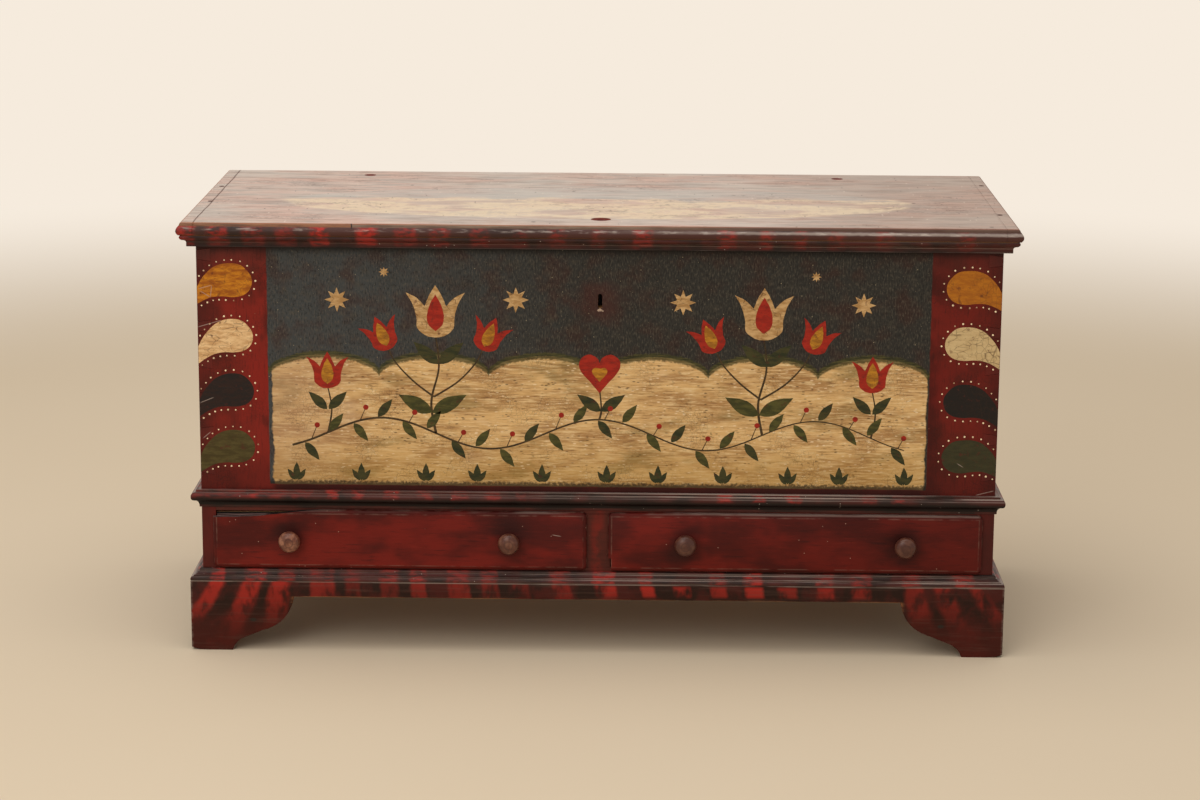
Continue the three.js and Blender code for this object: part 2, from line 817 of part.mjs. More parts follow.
// Case leaves on the back board, each with its screws and the middle knuckle, and the hinge pins
for (const [index, { side, end }] of ends.entries()) {
  const middle = (side * hingeSpacing) / 2;
  const edge = strapWidth / 2;
  const tongue = knuckleWidth / 2;
  const shoulder = hingeZ - barrelDiameter / 2 - jointGap;
  const shape = outline([
    [middle - edge, caseLeafFoot],
    [middle + edge, caseLeafFoot],
    [middle + edge, shoulder],
    [middle + tongue, shoulder],
    [middle + tongue, hingeZ],
    [middle - tongue, hingeZ],
    [middle - tongue, shoulder],
    [middle - edge, shoulder],
  ]);
  const leaf = joined([
    solid(sawnFront(shape, caseDepth, caseDepth + strapThickness)),
    knuckle(middle - tongue, middle + tongue),
    ...caseLeafScrewSeats[index].map((seat) => screw(seat, forward)),
  ]);
  add(`hinge_case_leaf_${end}`, surface(leaf), 'iron');
  const pinStart = axis(middle - edge - jointGap, hingeY, hingeZ);
  const hingePin = rod(pinStart, rightward, strapWidth + 2 * jointGap, hingePinDiameter);
  add(`hinge_pin_${end}`, surface(solid(hingePin)), 'iron');
}

// Lock plate, with its screws, and lock case inside the front board. The case is open towards the
// plate, and has a slot in its top for the staple and a shelf that the bolt slides on.
const plateLow = lockPlateTop - lockPlateHeight;
const plateHalf = lockPlateWidth / 2;
const lockPlateRough = solid(
  board(
    lockOffset - plateHalf,
    lockOffset + plateHalf,
    boardThickness,
    lockFace,
    plateLow,
    lockPlateTop,
  ),
);
const plateKeyhole = keyhole(boardThickness - cutOverrun, lockFace + cutOverrun);
const lockScrews = lockScrewSeats.map((seat) => screw(seat, forward));
add('lock_plate', surface(joined([lockPlateRough.subtract(plateKeyhole), ...lockScrews])), 'iron');

const boltTop = caseTop - boltDrop;
const boltFoot = boltTop - boltHeight;
const boltFace = lockFace + 2 * stapleClearance + stapleBar;
const boltBack = boltFace + boltThickness;
const stapleX = lockOffset + stapleOffset;
const stapleHalf = stapleThickness / 2;
const stemRight = lockOffset - boltStemOffset + boltStemWidth / 2;
const stemLeft = stemRight - boltStemWidth;

const lockCaseTop = caseTop - lockCaseDrop;
const lockCaseLow = lockCaseTop - lockCaseHeight;
const lockCaseHalf = lockCaseWidth / 2;
const lockCaseBack = lockFace + lockCaseDepth;
const shelfRight = stemLeft - stapleClearance;
const slotReach = stapleHalf + stapleSlotClearance;
const lockCase = less(
  solid(
    board(
      lockOffset - lockCaseHalf,
      lockOffset + lockCaseHalf,
      lockFace,
      lockCaseBack,
      lockCaseLow,
      lockCaseTop,
    ),
  ),
  [
    solid(
      board(
        lockOffset - lockCaseHalf + lockCaseWall,
        lockOffset + lockCaseHalf - lockCaseWall,
        lockFace - cutOverrun,
        lockCaseBack - lockCaseWall,
        lockCaseLow + lockCaseWall,
        lockCaseTop - lockCaseWall,
      ),
    ),
    solid(
      board(
        stapleX - slotReach,
        stapleX + slotReach,
        lockFace - cutOverrun,
        lockCaseBack - lockCaseWall,
        lockCaseTop - lockCaseWall - cutOverrun,
        lockCaseTop + cutOverrun,
      ),
    ),
  ],
);
const boltShelf = solid(
  board(
    shelfRight - boltShelfLength,
    shelfRight,
    lockFace + jointGap,
    lockCaseBack - lockCaseWall / 2,
    boltFoot - jointGap - boltShelfThickness,
    boltFoot - jointGap,
  ),
);
add('lock_case', surface(lockCase.add(boltShelf)), 'iron');

// Lock bolt, drawn back at rest: a bar, and a stem with a notch that the key turns in
const boltOutline = outline([
  [lockOffset - boltTailLength, boltFoot],
  [stemLeft, boltFoot],
  [stemLeft, boltFoot - boltStemLength],
  [(stemLeft + stemRight - boltNotchWidth) / 2, boltFoot - boltStemLength],
  [(stemLeft + stemRight - boltNotchWidth) / 2, boltFoot - boltStemLength + boltNotchHeight],
  [(stemLeft + stemRight + boltNotchWidth) / 2, boltFoot - boltStemLength + boltNotchHeight],
  [(stemLeft + stemRight + boltNotchWidth) / 2, boltFoot - boltStemLength],
  [stemRight, boltFoot - boltStemLength],
  [stemRight, boltFoot],
  [stapleX - stapleHalf - stapleClearance, boltFoot],
  [stapleX - stapleHalf - stapleClearance, boltTop],
  [lockOffset - boltTailLength, boltTop],
]);
add('lock_bolt', sawnFront(boltOutline, boltFace, boltBack), 'iron');

// Lock strike under the lid, and the staple that the bolt shoots through. The staple's tenon is
// riveted in a slot in the plate.
const strikeHalf = haspPlateLength / 2;
const strikeScrewSeats = [-1, 1].map((edge) =>
  axis(lockOffset + edge * (strikeHalf - screwHeadDiameter), strikeY, haspFoot),
);
const strikePlate = solid(
  board(
    lockOffset - strikeHalf,
    lockOffset + strikeHalf,
    strikeFront,
    strikeFront + haspPlateDepth,
    haspFoot,
    lidFoot,
  ),
);
const stapleHole = {
  y0: boltFace - stapleClearance,
  y1: boltBack + stapleClearance,
  z0: boltFoot - stapleClearance,
  z1: boltTop + stapleClearance,
};
const staplePlain = solid(
  board(
    stapleX - stapleHalf,
    stapleX + stapleHalf,
    stapleHole.y0 - stapleBar,
    stapleHole.y1 + stapleBar,
    stapleHole.z0 - stapleBar,
    haspFoot,
  ),
);
const stapleEye = solid(
  board(
    stapleX - stapleHalf - cutOverrun,
    stapleX + stapleHalf + cutOverrun,
    stapleHole.y0,
    stapleHole.y1,
    stapleHole.z0,
    stapleHole.z1,
  ),
);
const tenonSlot = (grow) =>
  solid(
    board(
      stapleX - stapleHalf - grow,
      stapleX + stapleHalf + grow,
      stapleHole.y0 - grow,
      stapleHole.y1 + grow,
      haspFoot - stapleBar,
      lidFoot + grow - jointGap,
    ),
  );
add('lock_staple', surface(staplePlain.subtract(stapleEye).add(tenonSlot(0))), 'iron');

const strikeScrews = strikeScrewSeats.map((seat) => screw(seat, upward));
const strike = joined([
  strikePlate.subtract(tenonSlot(jointGap)),
  rivet(strikeRivet),
  ...strikeScrews,
]);
add('lock_strike', surface(strike), 'iron');

// Lid board, drilled for all of these
const lidCuts = [
  ...[...strapScrewSeats.flat(), ...strikeScrewSeats].map((seat) => screwHole(seat, upward)),
  ...rivets.map(rivetHole),
  ...rivets.map(plugPocket),
];
const lidRough = solid(sawnSide(lidAlong, jointGap / 2 - lidSeam, lidSeam - jointGap / 2));
add('lid_board', surface(less(lidRough, lidCuts)), 'lidPaint');

// Drawer sizes
const openingWidth = innerHalf - dividerHalf;
const bodyHalf = openingWidth / 2 - drawerSideClearance;
const bodyFoot = openingFoot + jointGap;
const bodyTop = openingTop - drawerTopClearance;
const lipHalf = openingWidth / 2 + lipOverlap;
const lipFoot = openingFoot - lipOverlap;
const lipTop = openingTop + lipOverlap;
const lipFace = -jointGap - lipThickness;
const drawerBack = innerBack - drawerBackClearance;
const drawerBackFace = drawerBack - drawerBackThickness;
const bottomFoot = bodyFoot + drawerBottomRise;
const bottomTop = bottomFoot + drawerBottomThickness;
const drawerSideTop = bodyTop - drawerSideDrop;
const drawerBackFoot = bottomTop + jointGap;
const drawerBackTop = bodyTop - drawerBackDrop;

// Levels of the tails that join a drawer's sides to its front and back
const tailCount = Math.max(1, Math.floor((drawerBackTop - drawerBackFoot) / drawerTailPitch));
const tailMiddle = (drawerBackFoot + drawerBackTop) / 2;
const tailLevels = Array.from(
  { length: tailCount },
  (_, i) => tailMiddle + (i - (tailCount - 1) / 2) * drawerTailPitch,
);

// The corners of one tail that flares from its root to its tip, grown by a clearance for a socket
function tailCorners(root, tip, z, grow = 0) {
  const past = Math.sign(tip - root) * grow;
  return [
    [root - past, z - drawerTailNarrow / 2 - grow],
    [tip + past, z - drawerTailWide / 2 - grow],
    [tip + past, z + drawerTailWide / 2 + grow],
    [root - past, z + drawerTailNarrow / 2 + grow],
  ];
}
function tailSockets(root, tip, x0, x1) {
  return tailLevels.map((z) => solid(sawnSide(outline(tailCorners(root, tip, z, jointGap)), x0, x1)));
}

// Drawer side: two long edges with a row of tails at each end
const frontTailTip = drawerFrontThickness - drawerTailLength;
const drawerSideOutline = outline([
  [drawerFrontThickness, bodyFoot],
  ...tailLevels.flatMap((z) => tailCorners(drawerFrontThickness, frontTailTip, z)),
  [drawerFrontThickness, drawerSideTop],
  [drawerBackFace, drawerSideTop],
  ...[...tailLevels].reverse().flatMap((z) => tailCorners(drawerBackFace, drawerBack, z).reverse()),
  [drawerBackFace, bodyFoot],
]);

// A rectangle with round corners, drawn in from the lip's outer edge by an inset
const cornerSteps = 4;
function lipRing(middle, inset, y) {
  const radius = Math.max(lipCornerRadius - inset, lipFillet);
  const [reach, low, high] = [lipHalf - inset - radius, lipFoot + inset + radius, lipTop - inset - radius];
  const corners = [
    [middle + reach, high, 0],
    [middle - reach, high, 1],
    [middle - reach, low, 2],
    [middle + reach, low, 3],
  ];
  return corners.flatMap(([x, z, quarter]) =>
    Array.from({ length: cornerSteps + 1 }, (_, i) => {
      const angle = (quarter + i / cornerSteps) * (Math.PI / 2);
      return axis(x + radius * Math.cos(angle), y, z + radius * Math.sin(angle));
    }),
  );
}

// A closed body through rings of as many points, from the back ring to the front one
function throughRings(rings) {
  const size = rings[0].length;
  const places = rings.flat().flatMap((point) => point.toArray());
  const faces = [];
  for (let i = 0; i + 1 < rings.length; i += 1) {
    for (let j = 0; j < size; j += 1) {
      const [a, b] = [i * size + j, i * size + ((j + 1) % size)];
      faces.push(a, b, b + size, a, b + size, a + size);
    }
  }
  const last = (rings.length - 1) * size;
  for (let j = 1; j + 1 < size; j += 1) {
    faces.push(0, j + 1, j, last, last + j, last + j + 1);
  }
  const geometry = new THREE.BufferGeometry();
  geometry.setAttribute('position', new THREE.Float32BufferAttribute(places, 3));
  geometry.setIndex(faces);
  geometry.computeVertexNormals();
  return geometry;
}

// The lip: a square edge, a quarter round, a small fillet and the flat field
const roundSteps = 3;
function lip(middle) {
  const rings = [
    lipRing(middle, 0, -jointGap),
    lipRing(middle, 0, -jointGap - lipSquareEdge),
  ];
  for (let i = 1; i <= roundSteps; i += 1) {
    const angle = (i / roundSteps) * (Math.PI / 2);
    const inset = lipRound * (1 - Math.cos(angle));
    rings.push(lipRing(middle, inset, -jointGap - lipSquareEdge - lipRound * Math.sin(angle)));
  }
  rings.push(lipRing(middle, lipRound + lipFillet, rings[rings.length - 1][0].y));
  rings.push(lipRing(middle, lipRound + lipFillet, lipFace));
  return solid(throughRings(rings));
}

// The upper break slopes away from the drawer's outer corner, in shares of its length and depth
const upperBreakShares = [
  [0, 1],
  [0.36, 0.84],
  [0.52, 0.62],
  [0.75, 0.27],
  [1, 0],
];
function upperBreak(middle) {
  const corner = middle - lipHalf;
  const points = upperBreakShares.map(([along, depth]) => [
    corner + along * upperBreakLength,
    lipTop - depth * upperBreakDepth,
  ]);
  return outlineSolid(lipFace - cutOverrun, -jointGap, [
    [corner - cutOverrun, lipTop + cutOverrun],
    [corner - cutOverrun, lipTop - upperBreakDepth],
    ...points,
    [corner + upperBreakLength + cutOverrun, lipTop + cutOverrun],
  ]);
}
function lowerBreak(middle) {
  const corner = middle - lipHalf;
  return solid(
    board(
      corner - cutOverrun,
      corner + lipRound + lipFillet,
      lipFace - cutOverrun,
      -jointGap,
      lipFoot - cutOverrun,
      lipFoot + lowerBreakHeight,
    ),
  );
}

// Turned knob, in shares of its radius and its projection, with a tenon through the drawer front
const knobShares = [
  [0.5, 0],
  [0.5, 0.08],
  [0.44, 0.2],
  [0.55, 0.34],
  [0.9, 0.46],
  [1, 0.6],
  [0.97, 0.73],
  [0.82, 0.87],
  [0.55, 0.96],
  [0.27, 0.99],
  [0, 1],
];
const tenonLength = lipThickness + drawerFrontThickness;
const knobLevel = (lipFoot + lipTop) / 2;
function knob(x) {
  const profile = [
    [0, -tenonLength],
    [knobTenonDiameter / 2, -tenonLength],
    [knobTenonDiameter / 2, 0],
    ...knobShares.map(([out, along]) => [(out * knobDiameter) / 2, along * knobProjection]),
  ];
  return surface(solid(turned(profile, axis(x, lipFace, knobLevel), forward)));
}
function knobHole(x) {
  const start = axis(x, lipFace - cutOverrun, knobLevel);
  const length = lipThickness + drawerFrontThickness + jointGap + 2 * cutOverrun;
  return solid(rod(start, forward.clone().negate(), length, knobTenonDiameter + 2 * jointGap, turnedSides));
}

// Both drawers
for (const { side, end } of ends) {
  const middle = (side * (innerHalf + dividerHalf)) / 2;
  const knobPlaces = [-1, 1].map((edge) => middle + (edge * knobSpacing) / 2);
  const brokenOff = side < 0 ? upperBreak(middle) : lowerBreak(middle);
  const outerFaces = [middle - bodyHalf, middle + bodyHalf];
  const innerFaces = [outerFaces[0] + drawerSideThickness, outerFaces[1] - drawerSideThickness];
  const name = (piece) => `drawer_${end}_${piece}`;

  // The front and the back are cut for the tails of the sides, and the front for the bottom
  const sockets = (root, tip) => [
    ...tailSockets(root, tip, outerFaces[0] - cutOverrun, innerFaces[0] + jointGap),
    ...tailSockets(root, tip, innerFaces[1] - jointGap, outerFaces[1] + cutOverrun),
  ];
  const bottomGroove = solid(
    board(
      innerFaces[0] - drawerGrooveDepth,
      innerFaces[1] + drawerGrooveDepth,
      drawerFrontThickness - drawerGrooveDepth,
      drawerBack + cutOverrun,
      bottomFoot,
      bottomTop + jointGap,
    ),
  );
  const frontBody = solid(
    board(...outerFaces, lipFace + lipSquareEdge, drawerFrontThickness, bodyFoot, bodyTop),
  );
  const frontWhole = lip(middle).add(frontBody);
  const cuts = [
    brokenOff,
    bottomGroove,
    ...sockets(drawerFrontThickness + jointGap, frontTailTip),
    ...knobPlaces.map(knobHole),
  ];
  add(name('front'), surface(less(frontWhole, cuts)), 'drawerPaint');

  for (const [index, edge] of ['left', 'right'].entries()) {
    const faces = [outerFaces[index], innerFaces[index]].sort((a, b) => a - b);
    const plain = solid(sawnSide(drawerSideOutline, ...faces));
    add(name(`side_${edge}`), surface(plain.subtract(bottomGroove)), 'bareWood');
  }

  const backPlain = solid(
    board(...outerFaces, drawerBackFace, drawerBack, drawerBackFoot, drawerBackTop),
  );
  add(name('back'), surface(less(backPlain, sockets(drawerBackFace, drawerBack))), 'bareWood');

  add(
    name('bottom'),
    board(
      innerFaces[0] - drawerGrooveDepth + jointGap,
      innerFaces[1] + drawerGrooveDepth - jointGap,
      drawerFrontThickness - drawerGrooveDepth + jointGap,
      drawerBack,
      bottomFoot,
      bottomTop,
    ),
    'bareWood',
  );

  for (const [index, edge] of ['left', 'right'].entries()) {
    add(name(`knob_${edge}`), knob(knobPlaces[index]), 'knobWood');
  }
}

export default chest;
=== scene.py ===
import random
from math import cos, dist, hypot, pi, radians, sin, tau

import bmesh
import bpy
from mathutils import Matrix, Vector


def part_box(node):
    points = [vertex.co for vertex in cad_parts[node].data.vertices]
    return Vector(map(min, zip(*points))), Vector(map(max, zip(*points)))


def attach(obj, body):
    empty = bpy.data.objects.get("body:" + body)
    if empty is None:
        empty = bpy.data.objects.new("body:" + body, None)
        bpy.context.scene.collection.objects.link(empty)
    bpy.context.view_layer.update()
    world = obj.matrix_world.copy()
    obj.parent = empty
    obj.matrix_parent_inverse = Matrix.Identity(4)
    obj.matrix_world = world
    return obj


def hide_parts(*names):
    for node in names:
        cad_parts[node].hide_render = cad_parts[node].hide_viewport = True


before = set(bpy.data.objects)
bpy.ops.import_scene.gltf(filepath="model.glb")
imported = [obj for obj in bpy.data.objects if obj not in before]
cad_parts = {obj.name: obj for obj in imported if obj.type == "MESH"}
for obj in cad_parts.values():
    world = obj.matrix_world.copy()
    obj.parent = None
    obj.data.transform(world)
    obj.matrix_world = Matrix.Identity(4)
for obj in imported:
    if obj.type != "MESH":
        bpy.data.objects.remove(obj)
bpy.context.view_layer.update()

# Room. A plain pale floor under soft studio light, seen from a standing person's eye level, well
# back from the middle of the chest. The floor runs on past all that the camera sees.
MM = 0.001
CASE_FRONT_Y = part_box("front_board")[0][1]


def spot(x, y, z):
    """A place measured in millimetres from the case's front face, middle and floor."""
    return Vector((x * MM, y * MM + CASE_FRONT_Y, z * MM))


CAMERA_PLACE, LENS, SENSOR = (60.852, -4530.99, 1419.085), 89.80, 36
YAW, PITCH, ROLL = -0.0128, 0.2201, -0.0065
forward = Vector((sin(YAW) * cos(PITCH), cos(YAW) * cos(PITCH), -sin(PITCH)))
level = Vector((cos(YAW), -sin(YAW), 0))
down = forward.cross(level)
across = level * cos(ROLL) + down * sin(ROLL)
upright = level * sin(ROLL) - down * cos(ROLL)
bpy.ops.object.camera_add()
camera = bpy.context.object
camera.name = "camera"
camera.data.sensor_width, camera.data.lens = SENSOR, LENS
turn = Matrix((across, upright, -forward)).transposed().to_4x4()
camera.matrix_world = Matrix.Translation(spot(*CAMERA_PLACE)) @ turn
bpy.context.scene.camera = camera
bpy.context.scene.view_settings.view_transform = "Standard"


def lamp(name, place, aim, size, power, tint):
    """A square soft lamp that points at a place."""
    bpy.ops.object.light_add(type="AREA", location=place)
    light = bpy.context.object
    light.name = name
    light.rotation_euler = (Vector(aim) - Vector(place)).to_track_quat("-Z", "Y").to_euler()
    light.data.size = size
    light.data.energy = power
    light.data.color = tint


LAMP_TINT = (1, 0.97, 0.93)
lamp("lamp_ceiling", (-0.6, -0.6, 3.6), (0, 0, 0.3), 3.4, 47, LAMP_TINT)
lamp("lamp_front", (-1.6, -4.2, 2.8), (0, 0, 0.35), 2.6, 44, LAMP_TINT)


class Tone:
    """One output of a finish's nodes. Arithmetic on it adds Math nodes."""

    def __init__(self, finish, socket):
        self.finish, self.socket = finish, socket

    def math(self, operation, *others):
        return self.finish.math(operation, self, *others)

    __add__ = __radd__ = lambda self, other: self.math("ADD", other)
    __mul__ = __rmul__ = lambda self, other: self.math("MULTIPLY", other)
    __sub__ = lambda self, other: self.math("SUBTRACT", other)
    __rsub__ = lambda self, other: self.finish.math("SUBTRACT", other, self)
    __truediv__ = lambda self, other: self.math("DIVIDE", other)
    __lt__ = lambda self, other: self.math("LESS_THAN", other)
    __abs__ = lambda self: self.math("ABSOLUTE")

    def fade(self, low, high):
        """Nought at one value, one at the other, with a soft start and end."""
        sockets = {"Value": self, "From Min": low, "From Max": high}
        return self.finish.node("ShaderNodeMapRange", {"interpolation_type": "SMOOTHSTEP"}, sockets)


def span(u, v):
    """How far off a place is that lies u one way and v the other."""
    return (u * u + v * v).math("SQRT")


def paint(code):
    """A colour for a shader, from the six figures that a screen shows it with."""
    parts = [int(code[i : i + 2], 16) / 255 for i in (0, 2, 4)]
    return tuple(p / 12.92 if p <= 0.04045 else ((p + 0.055) / 1.055) ** 2.4 for p in parts) + (1,)


class Finish:
    """A material in the making, with the case's own millimetres as its coordinates."""

    def __init__(self, name):
        self.material = bpy.data.materials.new(name)
        self.material.use_nodes = True
        self.tree = self.material.node_tree
        self.tree.nodes.clear()
        raw = self.node("ShaderNodeTexCoord", output="Object")
        self.place = self.node(
            "ShaderNodeVectorMath",
            {"operation": "MULTIPLY_ADD"},
            (raw, (1 / MM, 1 / MM, 1 / MM), (0, -CASE_FRONT_Y / MM, 0)),
        )
        parts = self.node("ShaderNodeSeparateXYZ", sockets=(self.place,)).socket.node.outputs
        self.x, self.y, self.z = self.axes = [Tone(self, part) for part in parts]

    def node(self, kind, settings=None, sockets=(), output=0):
        made = self.tree.nodes.new(kind)
        for key, setting in (settings or {}).items():
            setattr(made, key, setting)
        pairs = sockets.items() if isinstance(sockets, dict) else enumerate(sockets)
        for key, value in pairs:
            if isinstance(value, Tone):
                self.tree.links.new(value.socket, made.inputs[key])
            else:
                made.inputs[key].default_value = value
        return Tone(self, made.outputs[output])

    def math(self, operation, *values):
        return self.node("ShaderNodeMath", {"operation": operation}, values)

    def spread(self, size, stretch, shift):
        """Coordinates in which a patch of the given size in millimetres is one unit."""
        share = tuple(1 / (size * length) for length in stretch)
        settings = {"operation": "MULTIPLY_ADD"}
        return self.node("ShaderNodeVectorMath", settings, (self.place, share, (shift, shift, shift)))

    def noise(self, size, stretch=(1, 1, 1), shift=0, detail=3, rough=0.55):
        sockets = {"Vector": self.spread(size, stretch, shift), "Scale": 1}
        return self.node("ShaderNodeTexNoise", {}, sockets | {"Detail": detail, "Roughness": rough})

    def cells(self, size, stretch, shift, feature="F1", output="Distance"):
        sockets = {"Vector": self.spread(size, stretch, shift), "Scale": 1}
        return self.node("ShaderNodeTexVoronoi", {"feature": feature}, sockets, output)

    def lay(self, tint, *layers):
        """Lays colours over a tint. A layer is a share, or a value that fades in between two bounds and
        how strongly, and ends with its colour: six figures or a tone."""
        for share, *bounds, colour in layers:
            if bounds:
                share = share.fade(*bounds[:2])
                share = share * bounds[2] if len(bounds) > 2 else share
            under, over = (paint(code) if isinstance(code, str) else code for code in (tint, colour))
            tint = self.node("ShaderNodeMix", {"data_type": "RGBA"}, {0: share, 6: under, 7: over}, 2)
        return tint

    def specks(self, size, reach, chance, shift, stretch=(1, 1, 1)):
        """Scattered small spots: some cells of a net have one, and the others are bare."""
        lone = self.cells(size, stretch, shift)
        lot = self.node("ShaderNodeSeparateColor", {}, (self.cells(size, stretch, shift, output="Color"),))
        return lone.fade(reach, reach * 0.6) * (lot < chance)

    def crackle(self, size, width, shift, stretch=(1, 1, 1)):
        return self.cells(size, stretch, shift, "DISTANCE_TO_EDGE").fade(width, 0)

    def finish(self, colour, roughness, height=None, depth=0.2, gloss=0.5, metal=0):
        """Ends a finish: its colour and roughness, its relief in millimetres, and how much it shines."""
        sockets = {"Base Color": colour, "Roughness": roughness}
        sockets |= {"Specular IOR Level": gloss, "Metallic": metal}
        if height is not None:
            bump = {"Height": height, "Distance": depth * MM, "Strength": 1}
            sockets["Normal"] = self.node("ShaderNodeBump", {}, bump)
        self.node_output(self.node("ShaderNodeBsdfPrincipled", {}, sockets))
        return self.material

    def node_output(self, shader):
        made = self.tree.nodes.new("ShaderNodeOutputMaterial")
        self.tree.links.new(shader.socket, made.inputs["Surface"])


bpy.ops.mesh.primitive_plane_add(size=60)
floor = bpy.context.object
floor.name = "studio_floor"
made = Finish("floor_paper")
floor_tint = made.lay("dfcfb6", (made.noise(900, detail=2), "e2d3bc"))
matt = {"Base Color": floor_tint, "Roughness": 0.9, "Specular IOR Level": 0.1}
matt = made.node("ShaderNodeBsdfPrincipled", {}, matt)
pale = made.node("ShaderNodeEmission", {}, {"Color": paint("f6ebdd"), "Strength": 1})
straight, glossy, through_glass = (
    made.node("ShaderNodeLightPath", output=f"Is {ray} Ray") for ray in ("Camera", "Glossy", "Transmission")
)
seen = straight.math("MAXIMUM", glossy.math("MAXIMUM", through_glass))
far_off = span(made.x, made.y).fade(2300, 4800)
made.node_output(made.node("ShaderNodeMixShader", {}, {0: far_off * seen, 1: matt, 2: pale}))
floor.data.materials.append(made.material)

world = bpy.data.worlds.new("studio")
bpy.context.scene.world = world
world.use_nodes = True
world.node_tree.nodes["Background"].inputs["Color"].default_value = paint("f4ece2")
world.node_tree.nodes["Background"].inputs["Strength"].default_value = 0.66

# Bare boards. The back, floor, runners, drawer sides and glue blocks are unpainted poplar and pine,
# planed by hand and gone brown with age. Their grain runs along each board.


def pine(wood, stretch=(22, 1, 1)):
    """Bare pine gone brown: broad soft bands of grain, fine fibres, old stains and a few pin knots."""
    bands = wood.noise(26, stretch, 2, 3, 0.5)
    fibre = wood.noise(2.4, stretch, 7, 3)
    tint = wood.lay(
        "b48c61", (bands, 0.36, 0.64, "966f45"), (fibre, 0.48, 0.78, 0.45, "6c4c2f"),
        (wood.noise(190, shift=4), 0.48, 0.74, 0.45, "745233"), (wood.specks(30, 0.1, 0.16, 3), "3d2a1a"),
    )
    return tint, bands * 0.5 + fibre


def bare_wood(name, stretch):
    wood = Finish(name)
    tint, grain = pine(wood, stretch)
    return wood.finish(tint, 0.72 + wood.noise(30, shift=9) * 0.16, grain, 0.35)


long_wood = bare_wood("pine_along_x", (22, 1, 1))
deep_wood = bare_wood("pine_along_y", (1, 22, 1))


def dress(names, material, broken=True, planed=True):
    """Gives carried-over pieces their finish. Planed ones also lose the seams in their flat faces, and
    their arrises are broken."""
    for name in names:
        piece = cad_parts[name]
        for slot in piece.material_slots:
            slot.material = material
        if not planed:
            continue
        piece.modifiers.new("weld", "WELD").merge_threshold = 0.02 * MM
        planes = piece.modifiers.new("planes", "DECIMATE")
        planes.decimate_type, planes.angle_limit = "DISSOLVE", radians(0.5)
        if broken:
            bevel = piece.modifiers.new("arris", "BEVEL")
            bevel.width, bevel.segments = 0.6 * MM, 1
            bevel.limit_method, bevel.angle_limit = "ANGLE", radians(50)


dress(["chest_floor", "rear_foot_bracket_left", "rear_foot_bracket_right"], long_wood)
dress(["centre_runner", "side_runner_left", "side_runner_right"], deep_wood)
dress([f"foot_block_{end}_{side}" for end in ("front", "rear") for side in ("left", "right")], deep_wood)
for drawer in ("drawer_left", "drawer_right"):
    dress([f"{drawer}_side_left", f"{drawer}_side_right", f"{drawer}_bottom"], deep_wood)
    dress([f"{drawer}_back"], long_wood)

# Hinges and lock. Wrought iron strap hinges and an iron chest lock, forged and filed by a smith,
# fixed with hand-cut screws and peened rivets, now brown with age.
iron = Finish("wrought_iron")
pits = iron.noise(3.5, detail=4)
rust = iron.noise(14, shift=5, detail=4).fade(0.5, 0.68)
tint = iron.lay("3a3431", (pits, 0.4, 0.7, "231f1d"), (rust * 0.7, "5b3422"))
iron_finish = iron.finish(tint, 0.5 + rust * 0.3, pits + iron.noise(18, shift=1), 0.25, metal=0.75)
dress([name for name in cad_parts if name.startswith(("hinge_", "lock_"))], iron_finish, planed=False)

# Case boards. Wide dovetailed boards under old oil paint: the two end columns of the front are
# wine red, and the sides match them, across the dovetails too. The inner faces and the back are bare.


def aged_red(board, along=(1, 16, 1), deep="4a1914", bright="681d17"):
    """Thin old red with brush streaks, darker where hands and smoke reached it."""
    streak = board.noise(5, along, 3, 4, 0.6)
    cloud = board.noise(150, shift=8, detail=4)
    red = board.lay(
        deep, (cloud, 0.34, 0.68, bright), (streak, 0.46, 0.75, 0.55, "32140f"),
        (streak, 0.42, 0.28, 0.3, "7f2a20"), (board.specks(7, 0.11, 0.22, 5), "8d5c4c"),
    )
    return red, streak


# Thin scratches on the front's two columns and the left drawer, each from one place to another.
SCRATCHES = [((-618, 575), (-597, 581)), ((-597, 581), (-599, 562)), ((-615, 572), (-599, 562)),
             ((-620, 515), (-583, 526)), ((-619, 395), (-597, 404)), ((-616, 338), (-603, 349)),
             ((-71, 190.5), (-56, 188)), ((589, 258.5), (618, 266)), ((558.6, 309.6), (569, 303))]


def scratched(coat, tint):
    """Lays the thin pale scratches over a colour."""
    scratch = 0
    for (x, z), (end_x, end_z) in SCRATCHES:
        length = hypot(end_x - x, end_z - z)
        way_x, way_z = (end_x - x) / length, (end_z - z) / length
        out_x, out_z = coat.x - x, coat.z - z
        along = abs(out_x * way_x + out_z * way_z - length / 2)
        line = abs(out_x * way_z - out_z * way_x).fade(0.9, 0.3)
        scratch = line * along.fade(length / 2 + 1, length / 2 - 4) + scratch
    return coat.lay(tint, (scratch * 0.5, "b9a59a"))


def column_red(coat):
    """The front columns' red: darker at the outer edge and the top, brighter beside the picture."""
    waver = coat.noise(26, shift=6) - 0.5
    cloud = coat.noise(70, shift=3)
    glow = abs(abs(coat.z + waver * 20) - 430).fade(60, 20) * abs(coat.x).fade(560, 530)
    inner_edge = (abs(coat.x) + waver * 30).fade(538, 516) * cloud.fade(0.62, 0.42)
    red = coat.lay(
        "5a1d15", (cloud, 0.34, 0.62, "80231a"), (coat.z + waver * 60, 585, 640, 0.5, "4e2c25"),
        (abs(coat.x), 580, 622, 0.6, "3f1914"), (glow * 0.4, "8c2018"),
        (coat.z + waver * 30, 330, 285, 0.45, "4b1611"), (coat.x, 0, 1, 0.35, "3d1410"),
        (inner_edge * 0.6, "3b120e"), (coat.noise(3, (1, 1, 9), 5, 4, 0.6), 0.5, 0.74, 0.5, "2f130f"),
        (coat.specks(9, 0.08, 0.1, 5), "8d5c4c"),
    )
    return scratched(coat, red), waver


